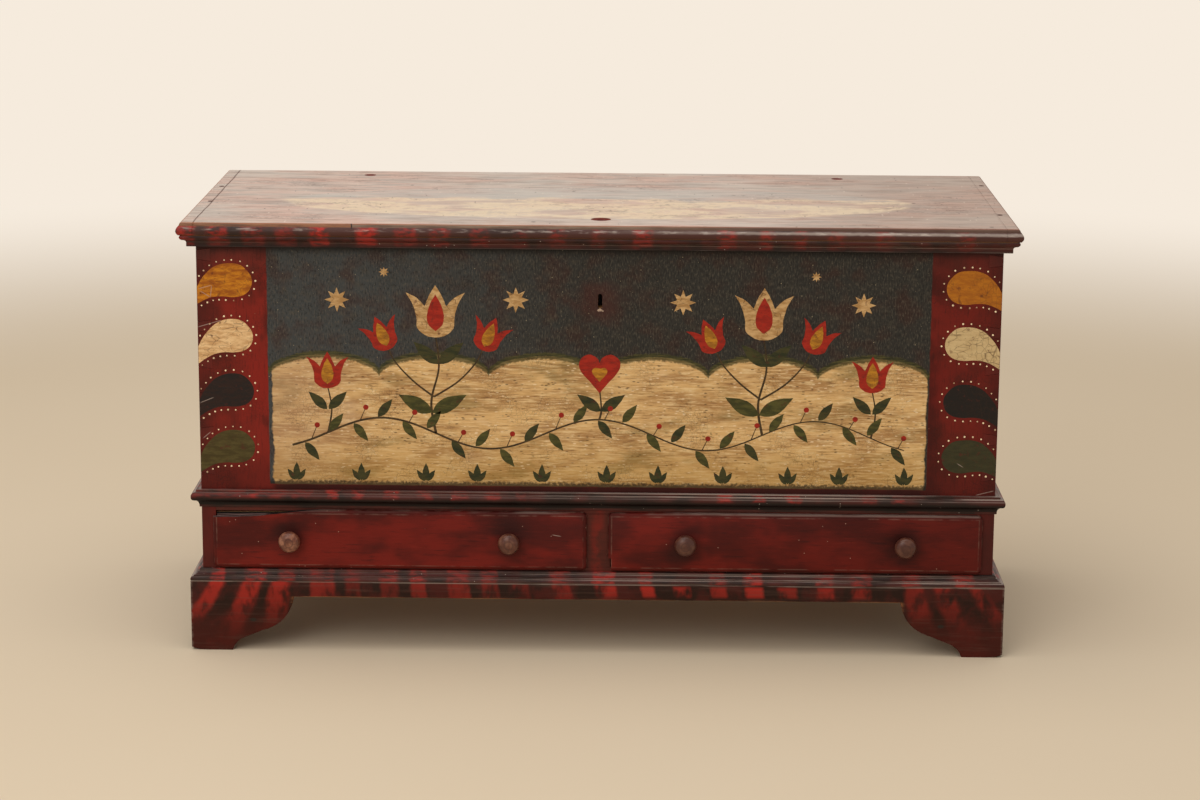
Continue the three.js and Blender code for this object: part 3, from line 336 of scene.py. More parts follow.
coat = Finish("side_red")
x, y, z = coat.axes
tint, streak = aged_red(coat)
bare = (abs(x).fade(606, 604) * y.fade(1.5, 2.5)).math("MAXIMUM", y.fade(520.8, 521.6))
tint = coat.lay(tint, (y, 2, 1, column_red(coat)[0]), (bare, pine(coat, (1, 22, 1))[0]))
side_finish = coat.finish(tint, 0.46 + streak * 0.2 + bare * 0.25, streak, 0.3, 0.2)
dress(["side_board_left", "side_board_right"], side_finish)

coat = Finish("back_board_wood")
tint, grain = pine(coat)
tint = coat.lay(tint, (abs(coat.x), 618.6, 619.4, aged_red(coat)[0]))
dress(["back_board"], coat.finish(tint, 0.78, grain, 0.35), broken=False)

coat = Finish("rail_red")
x, y, z = coat.axes
tint, streak = aged_red(coat, (16, 1, 1), "522a23", "6d3128")
blotch = abs(x).fade(15, 2) * coat.noise(24).fade(0.34, 0.66)
tint = coat.lay(tint, (abs(x), 30, 16, 0.5, "381812"), (blotch * 0.6, "86241b"))
rail_finish = coat.finish(tint, 0.45, streak, 0.3, 0.15)
dress(["drawer_upper_rail", "drawer_divider", "drawer_lower_rail"], rail_finish)

# Front board. A dark slate field stands over a cream band with a scalloped top, brushed on freely
# between the two red columns. The board is one wide plank, and its lock's keyhole is rubbed.
FIELD_LEFT, FIELD_RIGHT, BAND_FOOT = -512, 512, 268
SCALLOP = 170
board = Finish("front_board_paint")
x, y, z = board.axes
fine = board.noise(5, shift=2) - 0.5
weave = board.noise(2.2, (1, 1, 3), 1, 2)
red, waver = column_red(board)

slate = board.lay(
    "414445", (x + waver * 240, -430, 60, "31302d"),
    (board.noise(44, shift=4, detail=5), 0.45, 0.66, 0.55, "3f261f"),
    (board.noise(17, shift=14, detail=5), 0.5, 0.72, 0.4, "4b453b"), (weave, 0.5, 0.7, 0.5, "5f584d"),
    (weave, 0.46, 0.32, 0.6, "1f1b19"), (board.specks(8, 0.1, 0.2, 2), "a3977c"),
    (board.specks(3.2, 0.16, 0.14, 6), "7d735f"),
)

brush = board.noise(2.8, (11, 1, 1), 4, 4, 0.65)
broad = board.noise(28, (4, 1, 1), 2, 4)
olive_cloud = board.noise(50, (3, 1, 1), 9, 5, 0.6)
busy = board.noise(30, (1.6, 1, 1), 19, 4).fade(0.42, 0.6)
cream = board.lay(
    "b18756", (broad, 0.36, 0.6, "dab278"), (brush, 0.47, 0.66, 0.8, "ebcf9d"),
    (brush, 0.46, 0.33, 0.7, "7d5d3f"), (olive_cloud, 0.52, 0.66, 0.6, "78663a"),
    (olive_cloud, 0.42, 0.3, 0.45, "e2c299"),
    (board.specks(6, 0.3, 0.55, 8, (1.7, 1, 0.6)) * busy * 0.75, "4f3925"),
    (board.specks(5, 0.32, 0.4, 13, (2, 1, 0.6)) * (0.75 - busy * 0.6), "f4dfba"),
    (x + waver * 90, -330, -480, 0.4, "bf9a78"), (z + waver * 30, 350, 280, 0.4, "a9843f"),
)

arch = abs((x * (pi / SCALLOP)).math("SINE")).math("SQRT")
rise = 444 + arch * 30 + waver * 5 + fine * 3
in_band = z.fade(rise + 1.2, rise - 1.2) * (x + waver * 14 + fine * 4).fade(-507, -504)
in_band = in_band * (x + waver * 8 + fine * 4).fade(510, 507)
border = abs(z - rise - fine * 5).fade(7.5, 3.5)
fringe = (z + fine * 16).fade(BAND_FOOT + 7, BAND_FOOT + 1)
picture = board.lay(
    slate, (in_band, cream), (border * 0.85, board.lay("32331c", (brush, 0.4, 0.6, "55512c"))),
    (fringe * 0.85, "26201a"),
)
inside = (x + waver * 3).fade(FIELD_LEFT - 1, FIELD_LEFT + 1)
inside = inside * (x + waver * 3).fade(FIELD_RIGHT + 1, FIELD_RIGHT - 1)
inside = inside * (z + waver * 3).fade(BAND_FOOT - 3, BAND_FOOT - 1)
below = z.fade(BAND_FOOT - 1, BAND_FOOT - 4)
halo = (span((x - 2) * 0.7, z - 561) + waver * 40).fade(42, 8)
chip = (span((x - 2) / 4.4, (z - 546.8) / 2.3) + fine * 3).fade(1.1, 0.8)
crack = board.crackle(5.5, 0.05, 3) * board.noise(60, shift=11).fade(0.46, 0.62)
bare = y.fade(1, 1.4)
# Along its top, under the lid's edge, the front is darkened with a painted shadow.
front = board.lay(
    red, (inside, picture), (below * abs(x).fade(512, 500) * 0.8, "31110f"), (halo * 0.5, "4c231c"),
    (chip * 0.85, "bda591"), (crack * 0.45, "1c1512"), (z, 628, 642, 0.6, "15100e"),
    (bare, pine(board)[0]), (bare * abs(x).fade(605, 607), aged_red(board)[0]),
)
front_relief = weave * 0.6 + brush * in_band * 0.8 - crack * 0.8
front_rough = 0.46 + weave * 0.16 + in_band * inside * 0.1 + bare * 0.2
dress(["front_board"], board.finish(front, front_rough, front_relief, 0.22, 0.15))

# Painted drops. Four on each column, from the top orange, cream, black and olive, each ringed with
# cream dots. The painter filled each drop in one stroke and let its tail run off the corner.
ENDS = ((-1, "left"), (1, "right"))
DROP_OUTLINE = [
    (-62.5, -22), (-57, -10), (-49, 2), (-38, 14.5), (-24, 23.5), (-8, 26.3), (5, 23.7), (15, 15.5),
    (21.5, 5), (22, -6.5), (17, -17), (7, -24), (-8, -26.5), (-23, -27), (-38, -31.5), (-51, -39.3),
    (-62.5, -48.5),
]
DROP_X, TAIL_ROOT, TAIL_END = 557, -16, -62.5
# Each drop's two tones, how crackled it is, its tone on the right column, and for the left and right
# columns its level and how far the end of its tail is lifted.
DROPS = {
    "orange": ("cc831d", "9a5412", 0.5, "a9661c", {"left": (589, 11), "right": (587, 13)}),
    "cream": ("edc996", "cba06e", 0.8, "c2b083", {"left": (502, 4), "right": (499, 9)}),
    "black": ("211b1a", "2c1c18", 0.2, "1c1a17", {"left": (416, 6), "right": (408.5, 8)}),
    "olive": ("544a27", "42381a", 0.3, "272d20", {"left": (326, 7), "right": (320, 17)}),
}


def through(points, steps):
    """A smooth line through points. A point given twice makes a corner."""
    line = []
    for i in range(len(points) - 1):
        a, b, c, d = (Vector(points[min(max(i + k, 0), len(points) - 1)]) for k in (-1, 0, 1, 2))
        for step in range(steps if b != c else 0):
            t = step / steps
            line.append(0.5 * (2 * b + (c - a) * t + (2 * a - 5 * b + 4 * c - d) * t**2
                               + (3 * b - a - 3 * c + d) * t**3))
    return line + [Vector(points[-1])]


def only(*pieces):
    """Selects these pieces alone, and takes the first in hand."""
    bpy.ops.object.select_all(action="DESELECT")
    for piece in reversed(pieces):
        piece.select_set(True)
        bpy.context.view_layer.objects.active = piece


def edit(piece, mode="VERT"):
    """Opens a piece for shaping, with all of it selected."""
    only(piece)
    bpy.ops.object.mode_set(mode="EDIT")
    bpy.ops.mesh.select_mode(type=mode)
    bpy.ops.mesh.select_all(action="SELECT")


def draw_out(way):
    bpy.ops.mesh.extrude_region_move(TRANSFORM_OT_translate={"value": way})


def shift(way):
    bpy.ops.transform.translate(value=way)


def grow(sizes, middle=(0, 0, 0)):
    bpy.ops.transform.resize(value=sizes, center_override=middle)


def close_up(filled=True):
    """Merges doubles, fills what is open, turns the faces outwards and ends the shaping."""
    bpy.ops.mesh.select_all(action="SELECT")
    bpy.ops.mesh.remove_doubles(threshold=0.004 * MM)
    if filled:
        bpy.ops.mesh.select_all(action="DESELECT")
        bpy.ops.mesh.select_mode(type="VERT")
        bpy.ops.mesh.select_non_manifold()
        bpy.ops.mesh.fill_holes(sides=0)
        bpy.ops.mesh.select_all(action="SELECT")
    bpy.ops.mesh.normals_make_consistent()
    bpy.ops.object.mode_set(mode="OBJECT")


def sawn(name, outlines, near, thickness, arris=0, along_y=False):
    """A flat piece cut to one or more outlines in millimetres, standing upright."""
    shape = bpy.data.curves.new(name, "CURVE")
    shape.dimensions = "2D"
    shape.fill_mode = "BOTH" if arris else "NONE"
    if arris:
        shape.extrude = (thickness / 2 - arris) * MM
        shape.bevel_depth = arris * MM
        shape.bevel_resolution = 1
        shape.offset = -arris * MM
    for outline in outlines:
        outline = [b for a, b in zip([outline[-1], *outline], outline) if dist(a, b) > 0.02]
        spline = shape.splines.new("POLY")
        spline.points.add(len(outline) - 1)
        for point, (u, v) in zip(spline.points, outline):
            point.co = (u * MM, v * MM, 0, 1)
        spline.use_cyclic_u = True
    piece = bpy.data.objects.new(name, shape)
    bpy.context.collection.objects.link(piece)
    only(piece)
    bpy.ops.object.convert(target="MESH")
    piece = bpy.context.object
    middle = near + thickness / 2
    place = spot(middle, 0, 0) if along_y else spot(0, middle, 0)
    turn = Matrix(((0, 0, 1), (1, 0, 0), (0, 1, 0)) if along_y else ((1, 0, 0), (0, 0, -1), (0, 1, 0)))
    piece.matrix_world = Matrix.Translation(place) @ turn.to_4x4()
    bpy.ops.object.transform_apply()
    edit(piece)
    if not arris:
        bpy.ops.mesh.edge_face_add()
        shift((0, thickness / 2 * MM, 0))
        draw_out((0, -thickness * MM, 0))
    close_up(filled=False)
    return piece


def settle(piece, name, body, material, replaced=(), angle=30):
    """Ends a piece: its name, smooth rounds, finish, and what it moves with and stands for."""
    piece.name = piece.data.name = name
    only(piece)
    bpy.ops.object.transform_apply()
    bpy.ops.object.shade_smooth_by_angle(angle=radians(angle))
    if material:
        piece.data.materials.clear()
        piece.data.materials.append(material)
    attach(piece, body)
    if replaced:
        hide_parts(*replaced)


def drop_paint(name, light, dark, crackled, right_hand=None):
    """Thick brushed paint, crackled and rubbed. A drop may be of another tone on the right column."""
    coat = Finish(name)
    smear = coat.noise(7, (3.2, 1, 1), 3, 4, 0.65)
    tint = coat.lay(light, (smear, 0.36, 0.62, dark))
    if right_hand:
        tint = coat.lay(tint, (coat.x, 0, 1, 0.65, right_hand))
    lines = coat.crackle(7, 0.045, 2, (2.2, 1, 1)) * coat.noise(22, shift=4).fade(0.42, 0.6)
    tint = coat.lay(
        tint, (lines * crackled, "4a2f1c"),
        (coat.noise(11, shift=9, detail=4), 0.58, 0.7, 0.6, "52211a"),
        (coat.specks(5, 0.15, 0.18, 6) * 0.7, "3a2218"),
    )
    if right_hand:
        grid = coat.crackle(9, 0.06, 8, (1, 1, 1.5)) * coat.x.fade(556, 600)
        tint = scratched(coat, coat.lay(tint, (grid * crackled * 0.7, "4a2f1c")))
    return coat.finish(tint, 0.45, smear - lines * 0.6, 0.2, 0.2)


drop_coats = {colour: drop_paint(f"drop_{colour}", *looks) for colour, (*looks, _) in DROPS.items()}
coat = Finish("dot_cream")
dot_paint = coat.finish(coat.lay("a88364", (coat.noise(13), 0.34, 0.56, "fbe6c0")), 0.5, gloss=0.2)
rng = random.Random(7)


def ring_of_dots(line, gap, pitch, size):
    """Dots at an even pitch, a gap outside a line that is drawn clockwise."""
    dots, walked, target = [], 0, pitch / 2
    for a, b in zip(line, line[1:]):
        step = (b - a).length
        while step > 0 and walked + step >= target:
            way = (b - a) / step
            place = a + way * (target - walked) + Vector((-way.y, way.x)) * gap
            dots.append((place, size * rng.uniform(0.8, 1.2)))
            target += pitch * rng.uniform(0.92, 1.08)
        walked += step
    return dots


def disc(place, radius, sides=9):
    turns = [tau * i / sides for i in range(sides)]
    return [(place[0] + radius * cos(t), place[1] + radius * sin(t)) for t in turns]


for side, end in ENDS:
    all_dots = []
    for colour, (*_, places) in DROPS.items():
        drop_level, lift = places[end]
        raised = [(u, v + lift * max(0, (TAIL_ROOT - u) / (TAIL_ROOT - TAIL_END))) for u, v in DROP_OUTLINE]
        drop_line = through(raised, 5)
        shape = [(side * (DROP_X - u), drop_level + v) for u, v in drop_line]
        piece = sawn("drop", [shape], -0.12, 0.14)
        settle(piece, f"drop_{colour}_{end}", "case", drop_coats[colour])
        for place, size in ring_of_dots(drop_line, 5.4, 11.2, 1.3):
            x = side * (DROP_X - place.x)
            if abs(x) < 617:
                all_dots.append(disc((x, drop_level + place.y), size))
    dots = sawn("dots", all_dots, -0.3, 0.34)
    settle(dots, f"drop_dots_{end}", "case", dot_paint)

# Painted garden. A traditional vine with leaves and berries runs along the cream band, and tulip
# sprays and a heart stand up from it, with eight-pointed stars between them. Each leaf and petal is
# one brush stroke of oil paint that stands a hair proud of the board.

# Each stroke's two tones, how crackled it is, and how far it stands proud in millimetres.
STROKE_PAINTS = {
    "stem": ("33291a", "4d3c24", 0.2, 0.10), "leaf": ("545128", "3a3b1c", 0.3, 0.16),
    "dark_leaf": ("2a2f1b", "424022", 0.3, 0.13), "red": ("8c2015", "a5291a", 0.4, 0.20),
    "pale": ("d0ab78", "a9814f", 0.7, 0.15), "gold": ("c08526", "96611d", 0.5, 0.25),
    "berry": ("851e15", "a12618", 0.2, 0.17),
}
strokes = {kind: [] for kind in STROKE_PAINTS}


def stroke(kind, outline, x, z, turn, size):
    """Adds an outline drawn upright at unit size, turned in degrees, at a place, with a hand's tremor."""
    c, s = cos(radians(turn)), sin(radians(turn))
    placed = [(x + size * (u * c - v * s), z + size * (u * s + v * c)) for u, v in outline]
    apart = [b for a, b in zip([placed[-1], *placed], placed) if dist(a, b) > 1.2]
    strokes[kind].append([(u + rng.uniform(-0.3, 0.3), v + rng.uniform(-0.3, 0.3)) for u, v in apart])


def stem(points, width):
    """Adds a painted line of a given width that narrows to its end."""
    line = through(points, 8)
    left, right = [], []
    for i, here in enumerate(line):
        way = (line[min(i + 1, len(line) - 1)] - line[max(i - 1, 0)]).normalized()
        across = Vector((-way.y, way.x)) * (width / 2 * (1 - 0.5 * i / len(line)))
        left.append(here + across)
        right.append(here - across)
    strokes["stem"].append(left + right[::-1])


LEAF_STEPS = 9
LEAF = [(0.19 * sin(pi * (i / LEAF_STEPS) ** 0.8), i / LEAF_STEPS) for i in range(LEAF_STEPS + 1)]
LEAF += [(-u, v) for u, v in LEAF[-2:0:-1]]


def mirrored(half):
    """A whole outline from its right half, drawn from the foot to the tip."""
    right = through(half, 4)
    return right + [Vector((-point.x, point.y)) for point in right[-2:0:-1]]


TULIP = mirrored([(0, 0), (0, 0), (0.17, 0.03), (0.34, 0.17), (0.36, 0.4), (0.44, 0.66), (0.56, 0.86),
                  (0.56, 0.86), (0.36, 0.76), (0.2, 0.6), (0.2, 0.6), (0.12, 0.8), (0, 1), (0, 1)])
TULIP_HEART = mirrored([(0, 0.12), (0, 0.12), (0.13, 0.24), (0.16, 0.42), (0.1, 0.64), (0, 0.82),
                        (0, 0.82)])
HEART = mirrored([(0, 0), (0, 0), (0.22, 0.26), (0.46, 0.56), (0.46, 0.8), (0.26, 0.93), (0.06, 0.84),
                  (0, 0.72)])
STAR = [(r * sin(pi * i / 8), r * cos(pi * i / 8)) for i, r in enumerate((1, 0.5) * 8)]
VINE_MIDDLE, VINE_SWING, VINE_WAVE = 350, 24, 336


def vine_height(x):
    return VINE_MIDDLE + VINE_SWING * sin(tau * (x + 84) / VINE_WAVE)


def tulip(petals, heart, *place):
    stroke(petals, TULIP, *place)
    stroke(heart, TULIP_HEART, *place)


stem([(x, vine_height(x)) for x in range(-476, 480, 28)], 3.4)
for i, x in enumerate(range(-456, 470, 38)):
    side = 1 if i % 2 else -1
    lean = -38 if side > 0 else 218
    stroke("leaf" if i % 3 else "dark_leaf", LEAF, x, vine_height(x) + side * 1.5, lean, 36)
    if i % 2 == 0:
        berry = (x + 19, vine_height(x + 19) + 19)
        strokes["berry"].append(disc(berry, 4.2, 14))
        stem([(x + 10, vine_height(x + 10)), berry], 1.6)
for x in (-252, 255):
    stem([(x, vine_height(x)), (x - 7, 400), (x + 5, 455), (x, 506)], 4.2)
    tulip("pale", "red", x, 502, 0, 82)
    for side in (-1, 1):
        stem([(x - 3, 408), (x + side * 34, 432), (x + side * 62, 462), (x + side * 74, 486)], 3.2)
        tulip("red", "gold", x + side * 73, 482, -side * 22, 56)
        stroke("dark_leaf", LEAF, x + 4.5, 460, -side * 48, 52)
        stroke("leaf", LEAF, x - 5.5, 383, -side * 62, 60)
for x in (-420, 424):
    low = vine_height(x)
    stem([(x, low), (x + 6, (low + 424) / 2), (x, 424)], 3.2)
    tulip("red", "gold", x, 420, 0, 58)
    for side in (-1, 1):
        stroke("dark_leaf", LEAF, x + side, (low + 424) / 2, -side * 46, 40)
stem([(2, vine_height(2)), (5, 390), (2, 424)], 3.6)
stroke("red", HEART, 2, 416, 0, 66)
stroke("gold", HEART, 2, 434, 0, 24)
for side in (-1, 1):
    stroke("dark_leaf", LEAF, 4.5, 387, -side * 54, 46)
STARS = [(-128, 562, 20), (130, 560, 20), (-404, 560, 19), (408, 558, 19), (-331, 604, 8), (334, 602, 8)]
for x, z, size in STARS:
    stroke("pale", STAR, x, z, 0, size)
for i, x in enumerate(range(-470, 480, 94)):
    for lean, size in ((-34, 22), (0, 29), (34, 22)):
        stroke("dark_leaf", LEAF, x + (i % 3) * 7 - lean * 0.06, 273, lean, size)
for kind, (light, dark, crackled, proud) in STROKE_PAINTS.items():
    coat = drop_paint(f"garden_{kind}", light, dark, crackled)
    for number, outline in enumerate(strokes[kind]):
        strokes[kind][number] = sawn("stroke", [outline], -proud - 0.004 * (number % 7), proud + 0.05)
    only(*strokes[kind])
    bpy.ops.object.join()
    settle(bpy.context.object, f"garden_{kind}", "case", coat)

# Mouldings. Three sets of poplar mouldings, planed with hollows and rounds, mitred at the front
# corners and nailed round the case: over the base, over the chest floor, and under the lid's edge.
HALF_CASE, BACK_EDGE, MITRE_GAP = 620, 522, 0.15


def section(steps, reach, rise, foot, inner=0, fine_steps=7, hair=0.35):
    """A moulding's section from its inner foot, with a hair taken off each sharp arris."""
    line = [Vector((inner, foot))]
    for step in steps:
        curved = isinstance(step[0], tuple)
        *bend, end = [Vector((u * reach, foot + v * rise)) for u, v in (step if curved else [step])]
        start = line[-1]
        for i in range(1, fine_steps + 1) if bend else ():
            t = i / fine_steps
            line.append(start * (1 - t) ** 2 + bend[0] * 2 * t * (1 - t) + end * t**2)
        if not bend:
            line.append(end)
    line = [Vector((max(point.x, inner), point.y)) for point in line]
    soft = line[:1]
    for before, here, after in zip(line, line[1:], line[2:]):
        back, on = before - here, after - here
        if back.length and on.length and pi - back.angle(on) > radians(28):
            soft += [here + back.normalized() * min(hair, back.length / 3)]
            soft += [here + on.normalized() * min(hair, on.length / 3)]
        else:
            soft.append(here)
    return soft + line[-1:]


def run_along(line, side, back):
    """A length of moulding: an edge drawn up its section, longer the further it stands out."""
    bpy.ops.mesh.primitive_plane_add()
    piece = bpy.context.object
    edit(piece)
    shape = bmesh.from_edit_mesh(piece.data)
    for vert in shape.verts:
        vert.select_set((vert.co.x if side else vert.co.y) > 0)
    shape.select_flush_mode()
    bpy.ops.mesh.delete(type="VERT")
    bpy.ops.mesh.select_all(action="SELECT")
    reach, rise = line[0]
    length = ((back if side else HALF_CASE) + reach - MITRE_GAP) * MM
    if side:
        pivot = spot(0, back, 0)
        shift((1, -1, 0))
        grow((1, length / 2, 1))
        shift(spot(side * (HALF_CASE + reach), back, rise))
    else:
        pivot = spot(0, 0, 0)
        shift((0, 1, 0))
        grow((length, 1, 1))
        shift(spot(0, -reach, rise))
    for here, there in zip(line, line[1:] + line[:1]):
        out, up = (there - here) * MM
        draw_out((side * out, 0, up) if side else (0, -out, up))
        share = (length + out) / length
        length += out
        grow((1, share, 1) if side else (share, 1, 1), pivot)
    close_up()
    return piece


def dabs(coat, along, marks, soft=9, ragged=14):
    """Brush dabs at stretches along an edge. Each mark is its start, its end and its strength."""
    wobble = (coat.noise(10, shift=3, detail=4) - 0.5) * ragged
    total = 0
    for start, end, strength in marks:
        from_middle = abs(along + wobble - (start + end) / 2)
        half = (end - start) / 2
        total = from_middle.fade(half + soft / 2, half - soft / 2) * strength + total
    return total


def moulding_paint(name, marks, lines, along_y=False, shade=(-9, 0, 1), red="a3241b", dull="6b211b"):
    """Smoke-black paint dabbed with red. Shade is the level that a painted deep shadow starts at, and the
    two between which the dabs come clear of it. The arrises are rubbed to grey along the lines and carry
    painted highlights there, stronger to the right, and pale specks stand for glints."""
    coat = Finish(name)
    along = coat.y if along_y else coat.x
    stretch = (1, 18, 1) if along_y else (18, 1, 1)
    streak = coat.noise(4, stretch, 2, 4, 0.6)
    cloud = coat.noise(48, shift=5)
    drag = coat.noise(6, (1, 3, 1) if along_y else (3, 1, 1), 8, 4)
    foot, low, high = shade
    clear = (coat.z + drag * 2).fade(low, high)
    dab = dabs(coat, along, marks) * drag.fade(0.26, 0.56) * clear
    rubbed_and_highlit = 0
    for height, width, strength in lines:
        rubbed_and_highlit = abs(coat.z - height + (streak - 0.5) * 0.6).fade(width, width * 0.3) * strength + rubbed_and_highlit
    rubbed_and_highlit = rubbed_and_highlit * coat.noise(11, stretch, 7, 4, 0.7).fade(0.34, 0.58)
    if not along_y:
        rubbed_and_highlit = rubbed_and_highlit * (coat.x.fade(-300, 300) * 0.7 + 0.28)
    tint = coat.lay(
        "291713", (cloud, 0.38, 0.6, "4a1d18"), (streak, 0.5, 0.72, 0.4, "523b33"),
        (dab, coat.lay(dull, (drag, 0.36, 0.66, red))),
        # A painted shadow below the shade level, then rubbed arrises with painted highlights and glints.
        ((1 - clear) * coat.z.fade(foot, foot + 2) * 0.94, "0e0706"), (rubbed_and_highlit * 0.95, "a3938a"),
        (coat.specks(6, 0.14, 0.1, 4), "b0a398"),
    )
    if along_y:
        tint = coat.lay(tint, (coat.y.fade(520.8, 521.6) * coat.z.fade(600, 590), "7d5b3b"))
    return coat.finish(tint, 0.34 + streak * 0.22, streak + cloud, 0.35, 0.25)


def even_marks(place, end=500, pitch=53, width=27):
    """Dabs for an edge that the light doesn't reach, at the spacing of those that it does."""
    lots, marks = random.Random(pitch), []
    while place < end:
        marks.append((place, place + width * lots.uniform(0.8, 1.2), lots.uniform(0.35, 1)))
        place += pitch * lots.uniform(0.85, 1.15)
    return marks


LID_MARKS = [
    (-647, -618, 0.7), (-597, -568, 0.7), (-545, -510, 0.45), (-494, -464, 0.4), (-441, -414, 1),
    (-370, -340, 0.9), (-311, -278, 0.5), (-258, -230, 0.55), (-196, -170, 0.45), (-130, -110, 0.25),
    (-75, -52, 0.4), (-10, 10, 0.3), (52, 82, 0.6), (184, 208, 0.7), (247, 265, 0.5), (300, 316, 0.5),
    (350, 373, 0.3), (424, 448, 0.35), (548, 572, 0.3),
]
MOULDINGS = {
    "base_moulding": {
        "steps": [(0.94, 0), ((1.02, 0.06), (1, 0.16)), ((0.98, 0.35), (0.8, 0.36)), (0.74, 0.36),
                  (0.74, 0.46), ((0.42, 0.48), (0.38, 0.72)), (0.29, 0.72), (0.29, 0.84),
                  ((0.26, 1), (0.12, 1)), (0, 1)],
        "size": (18, 17, 113),
        "lines": [(113.9, 0.8, 0.6), (119, 0.7, 1), (120.9, 0.6, 0.8), (125.4, 0.6, 1), (127.4, 0.6, 0.7)],
        "marks": [(-604, -585, 0.9), (-552, -520, 0.8), (-500, -474, 0.6), (-449, -412, 0.5),
                  (-395, -372, 0.35), (-340, -312, 0.5), (-293, -270, 0.8), (-235, -202, 0.6),
                  (-182, -157, 0.5), (-72, -45, 0.6), (-6, 27, 0.9), (66, 87, 0.6), (176, 201, 0.5),
                  (231, 259, 0.9), (343, 370, 0.5), (400, 429, 0.6), (480, 505, 0.5), (560, 590, 0.6)],
    },
    "waist_moulding": {
        "steps": [(0.2, 0), (0.2, 0.08), ((0.24, 0.34), (0.6, 0.4)), ((1, 0.42), (1, 0.645)),
                  ((1, 0.86), (0.62, 0.87)), (0.5, 0.87), (0.5, 1), (0, 1)],
        "size": (15, 28.5, 229), "shade": (231.5, 243.5, 251),
        "lines": [(253.6, 0.8, 1), (257.2, 0.7, 1), (250.6, 1.2, 0.35)],
        "marks": [(-636, -445, 0.35), (-540, -528, 0.5), (-422, -405, 1), (-383, -366, 0.9),
                  (-333, -311, 0.9), (-281, -259, 0.7), (-228, -203, 0.6), (-174, -153, 0.5),
                  (-128, -114, 0.4), (189, 211, 0.9), (242, 259, 0.7), (295, 317, 0.8), (412, 435, 0.5),
                  (460, 478, 0.6)],
    },
    "lid_moulding": {
        "steps": [(0.58, 0), (0.58, 0.36), ((0.62, 0.54), (0.84, 0.57)), ((1.14, 0.76), (0.94, 1)), (0, 1)],
        "size": (22, 18.7, 643.3), "back": 537, "body": "lid", "shade": (-9, 641, 652),
        "lines": [(650.4, 0.6, 0.6), (653.4, 0.6, 0.7), (644, 0.6, 0.4), (660.5, 0.6, 0.4)],
        "marks": [(start, end, strength * 0.75) for start, end, strength in LID_MARKS],
    },
}
LID_CLEARANCE = 1.2
for kind, make in MOULDINGS.items():
    body = make.get("body", "case")
    inner = 0 if body == "case" else LID_CLEARANCE
    line = section(make["steps"], *make["size"], inner)
    shade = make.get("shade", (-9, 0, 1))
    front_coat = moulding_paint(f"{kind}_front", make["marks"], make["lines"], shade=shade)
    side_coat = moulding_paint(f"{kind}_side", even_marks(10), make["lines"], True, shade)
    for side, end in ((0, "front"), (-1, "left"), (1, "right")):
        piece = run_along(line, side, make.get("back", BACK_EDGE))
        coat = side_coat if side else front_coat
        settle(piece, f"{kind}_{end}_run", body, coat, [f"{kind}_{end}"], 32)

# Bracket base. Three poplar plinth boards, mitred at the front, with ogee bracket feet sawn in them
# and filed soft by wear. They are painted smoke-black with slanting red stripes on the feet.
FOOT_REACH, FOOT_RISE, PLINTH_OUT, PLINTH_IN, PLINTH_TOP = 162, 88, 18, 4, 113
FOOT_EDGE = [(0.398, 0), ((0.43, 0.18), (0.52, 0.24)), (0.69, 0.37), ((0.96, 0.5), (1, 1))]
foot_line = section(FOOT_EDGE, FOOT_REACH, FOOT_RISE, 0, 0, 10, 0)[1:]
worn_foot = [Vector((0, 5)), Vector((3, 3.2)), Vector((12, 0.9)), Vector((24, 0))] + foot_line
square_foot = [Vector((0, 0))] + foot_line


def clip(piece, place, facing):
    """Saws a piece through and keeps what lies behind the cut."""
    edit(piece)
    bpy.ops.mesh.bisect(
        plane_co=place, plane_no=facing, use_fill=True, clear_outer=True, threshold=0.001 * MM
    )
    close_up()


BAND_DABS = [
    (-449, -412, 0.9), (-395, -372, 0.45), (-340, -312, 0.5), (-293, -270, 0.85), (-235, -202, 0.8),
    (-182, -157, 0.6), (-133, -109, 0.5), (-72, -45, 0.7), (-6, 27, 1), (66, 87, 1), (118, 144, 0.8),
    (176, 201, 0.7), (231, 259, 1), (282, 313, 0.6), (343, 370, 0.7), (400, 429, 0.6),
]
coat = Finish("plinth_front_paint")
x, y, z = coat.axes
slant = (117 - z) * (abs(x) - 440) * 0.0033
grain = coat.noise(5, (18, 1, 1), 2, 4, 0.6)
murk = coat.noise(42, shift=6, detail=4)
drag = coat.noise(22, (1, 1, 1.8), 4, 3)
on_foot = abs(x).fade(462, 472)
to_right = x.fade(-80, 100)
slanted = dabs(coat, abs(x) - slant, [(581, 604, 1), (526, 553, 1), (480, 510, 0.9)], 10, 6)
slanted = slanted * on_foot * ((z + murk * 40 - 20).fade(22, 98) * 0.85 + 0.15) * (1 - to_right * 0.5)
rounded = abs(z - 102).fade(12, 5) * to_right + (1 - to_right) * 0.65
upright_dabs = dabs(coat, x + slant * 0.2, BAND_DABS, 7, 6) * (1 - on_foot) * rounded
sawn_edge = z.fade(89.6, 88.6) * abs(x).fade(484, 474)
rub = z.fade(111, 112.6) + abs(x).fade(634, 637) * 0.4
peg = span((abs(x) - 540) / 5.2, (z - 50) / 3.2).fade(1.2, 0.6)
stripe = coat.lay("641b13", (drag, 0.36, 0.6, "96271d"), (z, 98, 110, 0.6, "ab281d"))
tint = coat.lay(
    "28160f", (murk, 0.42, 0.62, "451a14"), ((slanted + upright_dabs) * drag.fade(0.28, 0.52), stripe),
    (z.fade(84, 20) * on_foot * 0.6, "511b14"), (sawn_edge * grain.fade(0.38, 0.6) * 0.8, "9c6640"),
    (rub * grain.fade(0.36, 0.6) * 0.8, "94857a"), (grain, 0.5, 0.74, 0.25, "5d463c"),
    (peg * 0.75, "2b2a25"), (y, 0, 3, 0.8, "4b3423"),
)
